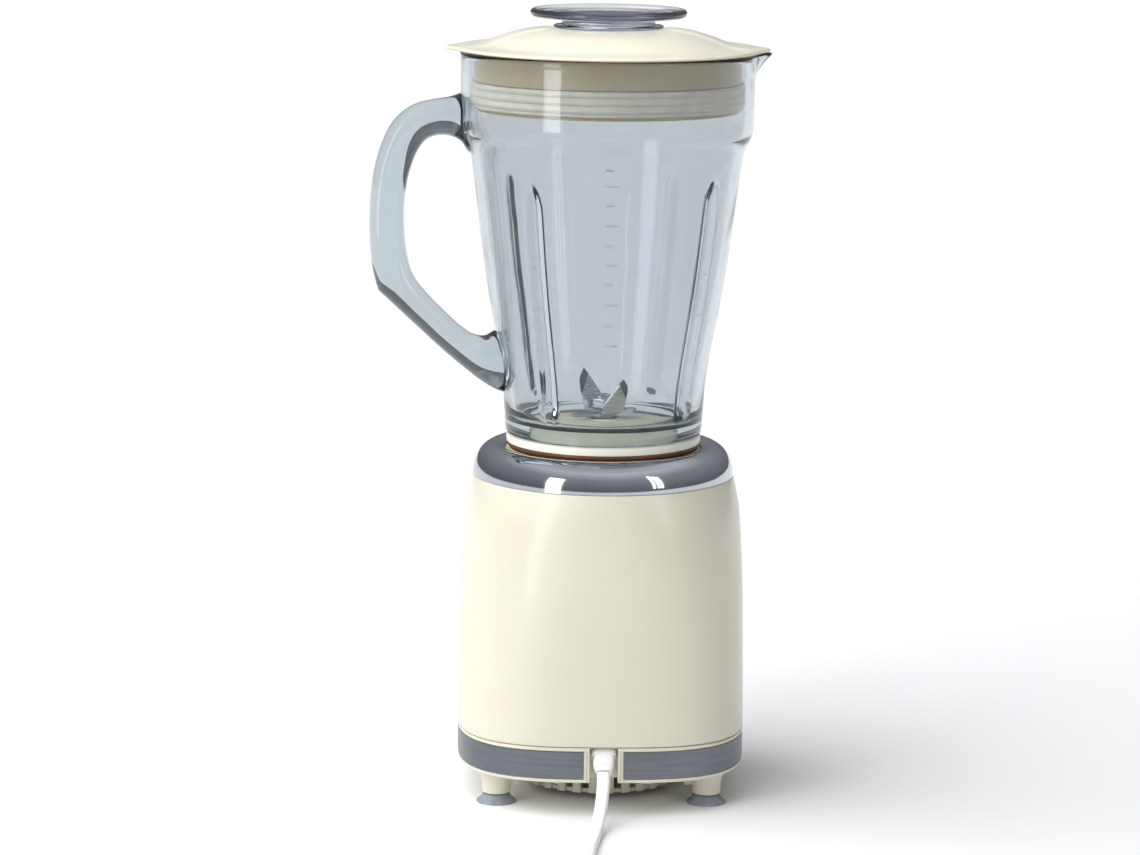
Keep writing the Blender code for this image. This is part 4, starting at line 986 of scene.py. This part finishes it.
# %% Handle
# Its outer and inner lines, seen from the side, as radius and height. The outer one has a corner
# near its lower end, and both spread at the roots.
HANDLE = [
    (0.0620, 0.3520, 0.0620, 0.3170),
    (0.0700, 0.3500, 0.0688, 0.3200),
    (0.0735, 0.3483, 0.0712, 0.3238),
    (0.0790, 0.3465, 0.0748, 0.3268),
    (0.0850, 0.3457, 0.0800, 0.3280),
    (0.0935, 0.3437, 0.0850, 0.3276),
    (0.1010, 0.3395, 0.0892, 0.3257),
    (0.1076, 0.3322, 0.0923, 0.3222),
    (0.1125, 0.3212, 0.0952, 0.3165),
    (0.1158, 0.3085, 0.0983, 0.3065),
    (0.1172, 0.2960, 0.0998, 0.2955),
    (0.1175, 0.2840, 0.1000, 0.2848),
    (0.1171, 0.2720, 0.0992, 0.2742),
    (0.1158, 0.2620, 0.0977, 0.2652),
    (0.1141, 0.2545, 0.0960, 0.2593),
    (0.1131, 0.2508, 0.0942, 0.2559),
    (0.1100, 0.2479, 0.0920, 0.2528),
    (0.1000, 0.2387, 0.0860, 0.2460),
    (0.0900, 0.2295, 0.0790, 0.2390),
    (0.0800, 0.2204, 0.0722, 0.2328),
    (0.0700, 0.2121, 0.0660, 0.2286),
    (0.0620, 0.2060, 0.0600, 0.2276),
    (0.0550, 0.2017, 0.0556, 0.2300),
    (0.0480, 0.1992, 0.0500, 0.2325),
]
HANDLE_DEPTH = 0.0220
stations = []
line = smooth_line(HANDLE, 0.0035)
for index, (r_out, z_out, r_in, z_in) in enumerate(line):
    share = index / (len(line) - 1)
    root = ease(abs(share - 0.5), 0.36, 0.5)
    middle = Vector(((r_out + r_in) / 2, 0, (z_out + z_in) / 2))
    up = Vector((r_out - r_in, 0, z_out - z_in))
    half_deep = HANDLE_DEPTH / 2 + 0.0022 * root
    stations.append(section(middle, (0, 1, 0), up, half_deep, up.length / 2))
carve(jug, drawn(stations, power=2.9, sides=40), "UNION", 50)
print("handle stations", len(stations))

# %% Inside with its ribs, and the scale
inside = [
    (0.0689, 0.3660),
    (0.0686, 0.3500),
    (0.0684, 0.3345),
    (0.0673, 0.3298),
    (0.0655, 0.3268),
    (0.0640, 0.3230),
    (0.0632, 0.3195),
    (0.0620, 0.3110),
    (0.0600, 0.2960),
    (0.0569, 0.2710),
    (0.0531, 0.2460),
    (0.0487, 0.2210),
    (0.0463, 0.2060),
    (0.0453, 0.1970),
    (0.0446, 0.1920),
    (0.0430, 0.1890),
    (0.0405, 0.1871),
    (0.0376, 0.1862),
]
mouth = [(0, 0.3720), (0.0701, 0.3720), (0.0699, 0.3702), (0.0695, 0.3692), (0.0690, 0.3680)]
throat = [(0.0375, 0.1855), (0.0375, 0.1590), (0, 0.1590)]
RIB_TURNS = [math.radians(a) for a in (37, 127, -143, -53)]  # from the rear, towards the handle
RIB_HALF, RIB_RISE, RIB_TOP, RIB_FOOT = 0.0052, 0.0042, 0.3120, 0.1905


def press_ribs(form):
    """Takes four upright grooves into the plunger's form, with rounded tops."""
    for corner in form.verts:
        radius = math.hypot(corner.co.x, corner.co.y)
        if radius < 0.040 or not RIB_FOOT < corner.co.z < RIB_TOP:
            continue
        angle = math.atan2(corner.co.x, corner.co.y)
        for turn in RIB_TURNS:
            aside = radius * math.remainder(angle - turn, math.tau)
            narrow = RIB_HALF * math.sqrt(ease(RIB_TOP - corner.co.z, 0, 0.016) + 0.02)
            if abs(aside) < narrow:
                shape = math.cos(math.pi / 2 * aside / narrow) ** 1.2
                ends = ease(RIB_TOP - corner.co.z, 0, 0.012) * ease(corner.co.z, RIB_FOOT, 0.1965)
                scale = 1 - RIB_RISE * shape * ends / radius
                corner.co.x *= scale
                corner.co.y *= scale
    return form


profile = [*mouth, *smooth_line(inside, 0.003), *throat]
plunger = press_ribs(pull_spout(turned(profile, JUG_STEPS), 0.0078))
carve(jug, plunger, "DIFFERENCE", 50)


def wall_radius(height):
    """The glass's outside radius at this height."""
    for (upper_r, upper_z), (lower_r, lower_z) in zip(outside, outside[1:]):
        if lower_z <= height <= upper_z:
            share = (height - lower_z) / (upper_z - lower_z)
            return lower_r + share * (upper_r - lower_r)


marks = []
for count in range(10):
    height = 0.216 + 0.010 * count
    radius = wall_radius(height)
    wide = 0.0040 if count % 2 else 0.0065
    tilt = Matrix.Translation((0, -radius, height)) @ Matrix.Rotation(math.radians(10), 4, "X")
    marks.append(block((-0.002 - wide, -0.0003, -0.0004), (-0.002, 0.0005, 0.0004), 0.0002, place=tilt))
carve(jug, gather(marks), "UNION", 50)
print("jug:", len(jug.data.polygons), "faces,", len(RIB_TURNS), "ribs")

# %% [markdown]
# ## Foot of the jug
# An ivory screw collar closes the neck of the glass, and holds the blade unit against a seal. Its
# rim shows as a ring under the glass, and the dark gap below it is the way down into the socket.

# %% Collar and blade holder
def ivory_in_painted_shade_bands(name, bands):
    """Ivory ABS in level bands, each from a height up with its own colour: the lower bands are painted
    shade.
    """
    material, tree, shader = finish_of(name, bands[-1][1], 0.3, Coat_Weight=0.2)
    shader.inputs["Coat Roughness"].default_value = 0.1
    place = node(tree, "ShaderNodeTexCoord")
    parts = node(tree, "ShaderNodeSeparateXYZ", None, {"Vector": place.outputs["Object"]})
    shades = node(tree, "ShaderNodeValToRGB", None, {"Fac": parts.outputs["Z"]})
    shades.color_ramp.interpolation = "CONSTANT"
    for (height, colour), element in zip(bands, shades.color_ramp.elements):
        element.position, element.color = height, linear(colour)
    for height, colour in bands[2:]:
        shades.color_ramp.elements.new(height).color = linear(colour)
    tree.links.new(shades.outputs["Color"], shader.inputs["Base Color"])
    vary_roughness(tree, shader, grain(tree, 6.0), 0.26, 0.38)
    raise_surface(tree, shader, grain(tree, 1.1, detail=1.0), 0.012, 0.35)
    return material


# Under the collar's rim its neck is painted a deep amber-brown in a thin band: painted shade for the
# gap above the socket. Below that band the ivory is a little darker than the rim.
collar_gap_painted_shade = ((0, "#EEEAD4"), (0.1716, "#77471D"), (0.1741, "#F4F1E2"))
collar_abs = ivory_in_painted_shade_bands("moulded_ivory_abs_with_painted_gap_shade", collar_gap_painted_shade)
collar_line = [
    (0.0433, 0.1793),
    (0.0478, 0.1793),
    (0.0483, 0.1790),
    (0.0485, 0.1784),
    (0.0485, 0.1745),
    (0.0482, 0.1741),
    (0.0459, 0.1739),
    (0.0459, 0.1495),
    (0.0456, 0.1490),
    (0.0395, 0.1490),
    (0.0395, 0.1537),
    (0.0433, 0.1537),
]
collar = set_piece(
    "screw_collar", turned(collar_line, 160), collar_abs, "jug", "jug_collar", slot="ivory"
)
notches = []
for quarter in range(4):
    face = Matrix.Rotation(math.pi * (quarter + 0.5) / 2, 4, "Z")
    notches.append(block((0.0422, -0.0036, 0.1440), (0.0500, 0.0036, 0.1646), place=face))
carve(collar, gather(notches))
holder_line = [
    (0.0070, 0.1853),
    (0.0073, 0.1856),
    (0.0090, 0.1856),
    (0.0094, 0.1852),
    (0.0105, 0.1839),
    (0.0300, 0.1832),
    (0.0345, 0.1822),
    (0.0362, 0.1811),
    (0.0369, 0.1797),
    (0.0369, 0.1569),
    (0.0428, 0.1569),
    (0.0428, 0.1540),
    (0.0330, 0.1540),
    (0.0330, 0.1760),
    (0.0120, 0.1770),
    (0.0120, 0.1690),
    (0.0070, 0.1690),
]
holder = turned(holder_line, 128)
set_piece("blade_seat", holder, cream_pp, "jug", "blade_holder", slot="cream")

# %% [markdown]
# ## Blades
# Two blades stamped from hardened stainless sheet: a flat one, and one bent up into two pointed
# wings. One long side of each wing is upright and the other runs to the point, and the short top
# edge is ground to a bevel, whose faces are given a much darker steel as painted shade. The
# ground steel is bright with fine lines along the grinding.

# %% Ground blade steel
blade_steel, tree, shader = finish_of("ground_blade_steel", "#D4D6DA", 0.22, 1.0)
grinding = grain(tree, 0.5, stretch=(0.05, 0.05, 1.0))
vary_colour(tree, shader, grinding, "#C8CACF", "#DEE0E3")
vary_roughness(tree, shader, grinding, 0.16, 0.34)
raise_surface(tree, shader, grinding, 0.01, 0.4)
# The bevel's faces get a much darker steel: painted shade, where the real edge is the same steel.
edge_shade_steel, tree, shader = finish_of("blade_edge_painted_shade", "#5A5D63", 0.3, 1.0)
vary_colour(tree, shader, grain(tree, 0.4, stretch=(0.3, 0.3, 1.0)), "#4C4F55", "#686B71")
print(blade_steel.name, edge_shade_steel.name)

# %% Raised and flat wings
BLADE_TURN, WING_TURN = math.radians(127), math.radians(32)
SHEET, WHETTED = 0.0014, 0.0032
WING = [(-0.00625, 0), (-0.00625, 0.0150), (-0.0050, 0.0182), (-0.0017, 0.0225)]
WING += [(0.00625, 0.0066), (0.00625, 0)]


def stamped(outline, thick):
    """A sheet cut to an outline in XZ, its back on the XZ plane and its front towards +Y."""
    form = bmesh.new()
    face = form.faces.new([form.verts.new((x, 0, z)) for x, z in outline])
    grown = bmesh.ops.extrude_face_region(form, geom=[face])["geom"]
    corners = [item for item in grown if isinstance(item, bmesh.types.BMVert)]
    bmesh.ops.translate(form, vec=(0, thick, 0), verts=corners)
    bmesh.ops.recalc_face_normals(form, faces=form.faces)
    return form


def raised_wing(height_scale, half_turn):
    """One wing, ground along its top edge, leaned outwards from the middle strip."""
    form = stamped([(x, z * height_scale) for x, z in WING], SHEET)
    shoulder, tip = (Vector((x, 0, z * height_scale)) for x, z in (WING[1], WING[3]))
    inward = Vector((0, 1, 0)).cross(tip - shoulder).normalized()
    parts = [*form.verts, *form.edges, *form.faces]
    start = shoulder + inward * WHETTED
    bmesh.ops.bisect_plane(form, geom=parts, plane_co=start, plane_no=inward)
    for corner in form.verts:
        if (corner.co - start).dot(inward) < -0.0002:
            corner.co.y = SHEET / 2 + (0.0001 if corner.co.y > SHEET / 2 else -0.0001)
    for face in form.faces:
        if (face.calc_center_median() - start).dot(inward) < 0:
            face.material_index = 1
    lean = Matrix.Rotation(math.radians(-19), 4, "X")
    place = Matrix.Rotation(BLADE_TURN - math.pi / 2 + half_turn, 4, "Z")
    place = place @ Matrix.Translation((0, 0.0064, 0.1899)) @ lean
    bmesh.ops.transform(form, matrix=place, verts=form.verts)
    return form


strip = block((-0.0068, -0.0062, 0.1897), (0.0068, 0.0062, 0.1911), 0.0002)
bmesh.ops.rotate(strip, cent=(0, 0, 0), matrix=Matrix.Rotation(BLADE_TURN, 3, "Z"), verts=strip.verts)
wings = [raised_wing(0.86, 0), raised_wing(1.0, math.pi), strip]
form = gather(wings)
raised = set_piece(
    "raised_blade", form, blade_steel, "blades", "blade_upper", slot="steel", sharp=12
)
raised.data.materials.append(edge_shade_steel)
half_flat = [(0.0060, -0.0062), (0.0150, -0.0050), (0.0190, -0.0020), (0.0190, 0.0030)]
half_flat += [(0.0060, 0.0062)]
outline = half_flat + [(-x, -y) for x, y in half_flat]
form = bmesh.new()
face = form.faces.new([form.verts.new((x, y, 0.1879)) for x, y in outline])
grown = bmesh.ops.extrude_face_region(form, geom=[face])["geom"]
corners = [item for item in grown if isinstance(item, bmesh.types.BMVert)]
bmesh.ops.translate(form, vec=(0, 0, SHEET), verts=corners)
for corner in corners:
    corner.co.y *= 0.72
bmesh.ops.rotate(form, cent=(0, 0, 0), matrix=Matrix.Rotation(WING_TURN, 3, "Z"), verts=form.verts)
set_piece("flat_blade", form, blade_steel, "blades", "blade_lower", slot="steel", sharp=20)

# %% Nut and shaft
form = bmesh.new()
bmesh.ops.create_cone(
    form, cap_ends=True, segments=6, radius1=0.0062, radius2=0.0062, depth=0.0046
)
bmesh.ops.translate(form, vec=(0, 0, 0.1942), verts=form.verts)
bmesh.ops.bevel(
    form,
    geom=[e for e in form.edges if e.verts[0].co.z > 0.196 and e.verts[1].co.z > 0.196],
    offset=0.0007,
    segments=2,
    affect="EDGES",
    profile=0.5,
    material=-1,
)
dome = [(0, 0.1990), (0.0018, 0.19885), (0.0034, 0.1982), (0.0046, 0.1972)]
dome += [(0.0048, 0.1962), (0, 0.1960)]
form = gather([form, turned(dome, 48)])
set_piece("cap_nut", form, blade_steel, "blades", "blade_nut", slot="steel", sharp=30)

# %% [markdown]
# ## Lid, gasket and filler cap
# The lid is a shallow dome of ivory ABS with two pointed tabs, one over the spout and one over
# the handle. From the feed hole to each tab its top is pressed into a flat wedge with a soft
# crease on either side. Its skirt carries a ribbed silicone gasket that shows through the glass.

# %% Lid
TAB_OUTLINE = ((0, 0.0802), (2.9, 0.0797), (9.8, 0.0765), (16.0, 0.0754), (22.8, 0.0750), (180, 0.0750))


def tab_reach(angle):
    """The brim's radius at this angle from the nearer tab, in degrees."""
    for (low, near), (high, far) in zip(TAB_OUTLINE, TAB_OUTLINE[1:]):
        if angle <= high:
            return near + (far - near) * (angle - low) / (high - low)


dome = [
    (0.0240, 0.3814),
    (0.0300, 0.3812),
    (0.0400, 0.3799),
    (0.0480, 0.3780),
    (0.0550, 0.3756),
    (0.0610, 0.3734),
    (0.0660, 0.3726),
    (0.0700, 0.3724),
    (0.0735, 0.3723),
]
dome = smooth_line(dome, 0.002)
brim = [(0.0744, 0.37215), (0.0749, 0.3717), (0.0750, 0.3712), (0.0748, 0.37075), (0.0744, 0.3705)]
skirt = [
    (0.0700, 0.3705),
    (0.0660, 0.3705),
    (0.0660, 0.3650),
    (0.0660, 0.3560),
    (0.0638, 0.3560),
    (0.0638, 0.3430),
    (0.0647, 0.3430),
    (0.0648, 0.3427),
    (0.0647, 0.3415),
    (0.0618, 0.3415),
    (0.0615, 0.3420),
]
hollow = [(0.0615, 0.3680), (0.0500, 0.3738), (0.0380, 0.3772), (0.0245, 0.3786), (0.0245, 0.3702)]
hole = [(0.0242, 0.3700), (0.0226, 0.3700), (0.0223, 0.3703), (0.0223, 0.3810), (0.0226, 0.3814)]
form = turned([*dome, *brim, *skirt, *hollow, *hole], 192)
for corner in form.verts:
    radius = math.hypot(corner.co.x, corner.co.y)
    angle = math.degrees(math.atan2(abs(corner.co.y), abs(corner.co.x)))
    if radius > 0.0730 and corner.co.z > 0.3700:
        grown = radius + (tab_reach(angle) - 0.0750) * ease(radius, 0.0730, 0.0745)
        corner.co.x *= grown / radius
        corner.co.y *= grown / radius
    if 0.0270 < radius < 0.0745 and corner.co.z > 0.3720:
        fade = ease(radius, 0.0270, 0.0330) * (1 - ease(radius, 0.0690, 0.0740))
        corner.co.z += 0.0008 * fade * (1 - ease(angle, 13, 19))
# Below the brim the skirt, which sits inside the jug, is painted a darker tan: painted shade. Above the
# brim the lid has its own ivory.
skirt_painted_shade = ((0, "#C2AF8B"), (0.3705, "#F2EDD8"))
lid_abs = ivory_in_painted_shade_bands("moulded_ivory_abs_lid", skirt_painted_shade)
set_piece("domed_lid", form, lid_abs, "lid", "lid", slot="ivory")

# %% Gasket
# Food-grade silicone: translucent, faintly yellow, with a soft shine.
silicone, tree, shader = finish_of(
    "translucent_silicone", "#E3DBC8", 0.38, Subsurface_Weight=0.15, Subsurface_Scale=0.002
)
vary_colour(tree, shader, grain(tree, 8.0), "#DDD4BF", "#E8E1D0")
raise_surface(tree, shader, grain(tree, 0.7), 0.02, 0.4)
seal = [(0.0641, 0.3556), (0.0672, 0.3556)]
for row in range(3):
    top = 0.3545 - row * 0.0038
    seal += [(0.0676, top + 0.0003), (0.0680, top - 0.0002), (0.0680, top - 0.0010)]
    seal += [(0.0676, top - 0.0016), (0.0670, top - 0.0019)]
seal += [(0.0670, 0.3436), (0.0667, 0.3433), (0.0641, 0.3433)]
set_piece("ribbed_gasket", turned(seal, 160), silicone, "lid", "lid_gasket", slot="cream")

# %% Filler cap
CAP_TOP = 0.3910
cap_line = [
    (0, CAP_TOP - 0.0018),
    (0.0200, CAP_TOP - 0.0018),
    (0.0325, CAP_TOP - 0.0018),
    (0.0340, CAP_TOP - 0.0014),
    (0.0352, CAP_TOP - 0.0005),
    (0.0360, CAP_TOP - 0.0001),
    (0.0368, CAP_TOP),
    (0.0376, CAP_TOP - 0.0003),
    (0.0382, CAP_TOP - 0.0008),
    (0.0386, CAP_TOP - 0.0014),
    (0.0387, CAP_TOP - 0.0021),
    (0.0385, CAP_TOP - 0.0028),
    (0.0380, CAP_TOP - 0.0035),
    (0.0368, CAP_TOP - 0.0041),
    (0.0300, CAP_TOP - 0.0044),
    (0.0245, CAP_TOP - 0.0046),
    (0.0234, CAP_TOP - 0.0050),
    (0.0230, CAP_TOP - 0.0057),
    (0.0230, 0.3838),
    (0.0234, 0.3834),
    (0.0262, 0.3831),
    (0.0270, 0.3828),
    (0.0272, 0.3823),
    (0.0270, 0.3818),
    (0.0265, 0.3817),
    (0.0219, 0.3817),
    (0.0219, 0.3668),
    (0.0217, 0.3661),
    (0.0212, 0.3660),
    (0.0198, 0.3660),
    (0.0195, 0.3663),
    (0.0195, 0.3835),
    (0.0192, 0.3845),
    (0.0184, 0.3850),
    (0.0100, 0.3850),
    (0, 0.3850),
]
form = turned(cap_line, 160)
set_piece("clear_cap", form, clear_san, "cap", "filler_cap", slot="clear_plastic", sharp=50)

# %% [markdown]
# ## Control
# The knob is turned about an axis that points to the front, so its profile is spun upright and
# then stood on the housing. A bar across its face is the grip. Round it lies a plated ring, with
# raised dots for the switch's positions.

# %% Knob and ring
FRONT = KNOB_REACH - BASE_HALF
KNOB_FRAME = Matrix.Translation((0, -BASE_HALF, KNOB_HEIGHT)) @ Matrix.Rotation(math.pi / 2, 4, "X")
knob_line = [
    (0, FRONT - 0.0055),
    (0.0132, FRONT - 0.0055),
    (0.0140, FRONT - 0.0052),
    (0.0146, FRONT - 0.0006),
    (0.0152, FRONT),
    (0.0162, FRONT - 0.0004),
    (0.0168, FRONT - 0.0012),
    (0.0175, 0.0070),
    (0.0178, 0.0063),
    (0.0190, 0.0052),
    (0.0192, 0.0048),
    (0.0192, 0.0036),
    (0.0189, 0.0034),
    (0.0170, 0.0034),
    (0.0150, 0.0060),
    (0.0070, 0.0060),
    (0.0070, 0.0016),
    (0.0033, 0.0016),
    (0.0033, 0.0110),
    (0, 0.0110),
]
knob_form = turned(knob_line, 96)
bmesh.ops.transform(knob_form, matrix=KNOB_FRAME, verts=knob_form.verts)
knob = set_piece("control_knob", knob_form, chrome_plate, "dial", "knob", slot="chrome")
grip = block((-0.0030, -0.0143, 0.0118), (0.0030, 0.0143, FRONT - 0.0002), 0.0006, place=KNOB_FRAME)
carve(knob, grip, "UNION")
mark = block((-0.0006, 0.0060, 0.0170), (0.0006, 0.0135, 0.0183), 0.0001, place=KNOB_FRAME)
carve(knob, mark)
ring_line = [
    (0.0199, 0.0018),
    (0.0200, 0.0026),
    (0.0206, 0.0030),
    (0.0225, 0.0032),
    (0.0234, 0.0029),
    (0.0239, 0.0022),
    (0.0240, -0.0030),
    (0.0240, -0.0050),
    (0.0062, -0.0050),
    (0.0062, 0.0012),
    (0.0195, 0.0012),
]
ring_form = turned(ring_line, 96)
bmesh.ops.transform(ring_form, matrix=KNOB_FRAME, verts=ring_form.verts)
ring = set_piece("dial_ring", ring_form, chrome_plate, "base", "knob_bezel", slot="chrome")
dots = []
for angle, size in ((-40, 0.0005), (0, 0.0008), (40, 0.0006), (80, 0.0008)):
    dot = bmesh.new()
    bmesh.ops.create_uvsphere(dot, u_segments=16, v_segments=8, radius=size)
    lean = math.radians(angle)
    spot = Vector((0.0220 * math.sin(lean), 0.0220 * math.cos(lean), 0.0031))
    bmesh.ops.transform(dot, matrix=KNOB_FRAME @ Matrix.Translation(spot), verts=dot.verts)
    dots.append(dot)
carve(ring, gather(dots), "UNION")

# %% [markdown]
# ## Inner pieces
# The motor, the switch, the coupling and the small parts of the blade unit keep the packed
# model's own shapes. Each gets the finish of what it is made from. Laminated iron is a stack of
# half-millimetre sheets, so fine lines run round it, and the windings are enamelled wire.

# %% Finishes of the inner pieces
laminated_iron, tree, shader = finish_of("laminated_electrical_steel", "#5A5B60", 0.45, 1.0)
sheets = grain(tree, 0.5, stretch=(0.02, 0.02, 1.0), detail=1.0)
vary_colour(tree, shader, sheets, "#4C4D52", "#6A6B70")
raise_surface(tree, shader, sheets, 0.05, 0.6)

enamelled_copper, tree, shader = finish_of("enamelled_copper_wire", "#B86A38", 0.3, 1.0)
shader.inputs["Coat Weight"].default_value = 0.6
wires = grain(tree, 0.7, stretch=(0.03, 0.03, 1.0), detail=1.0)
vary_colour(tree, shader, wires, "#9C5428", "#CB7C46")
raise_surface(tree, shader, wires, 0.2, 0.8)

black_nylon, tree, shader = finish_of("moulded_black_nylon", "#1E1E20", 0.45)
vary_colour(tree, shader, grain(tree, 6.0), "#19191B", "#252527")
vary_roughness(tree, shader, grain(tree, 2.0), 0.38, 0.55)
raise_surface(tree, shader, grain(tree, 0.5), 0.02, 0.4)

drawn_steel, tree, shader = finish_of("drawn_machine_steel", "#9FA2A6", 0.3, 1.0)
vary_colour(tree, shader, grain(tree, 5.0), "#94979B", "#AAADB1")
vary_roughness(tree, shader, grain(tree, 0.5, stretch=(1, 1, 0.05)), 0.24, 0.4)

white_nylon, tree, shader = finish_of("moulded_white_nylon", "#EAE9E4", 0.42)
vary_colour(tree, shader, grain(tree, 10.0), "#E4E3DD", "#EFEEEA")
raise_surface(tree, shader, grain(tree, 0.8), 0.02, 0.4)

INNER = {
    "stator_core armature_core": laminated_iron,
    "field_coil_left field_coil_right armature_winding commutator": enamelled_copper,
    "upper_bearing lower_bearing brush_holder_left brush_holder_right blade_bush": turned_brass,
    "drive_coupling driven_coupling shaft_seal rotary_switch": black_nylon,
    "upper_bracket lower_bracket motor_shaft blade_shaft switch_spindle": drawn_steel,
    "base_screw_1 base_screw_2 base_screw_3 base_screw_4": drawn_steel,
    "motor_mount_1 motor_mount_2 motor_mount_3 motor_mount_4 jug_gasket": grey_tpe,
    "cooling_fan": white_nylon,
    "inner_lead": white_pvc,
}
for names, material in INNER.items():
    for name in names.split():
        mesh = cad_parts[name].data
        mesh.materials.clear()
        mesh.materials.append(material)
unfinished = [
    name
    for name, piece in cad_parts.items()
    if not piece.hide_render and piece.data.materials[0] not in INNER.values()
]
print("inner pieces finished; still plain:", unfinished)
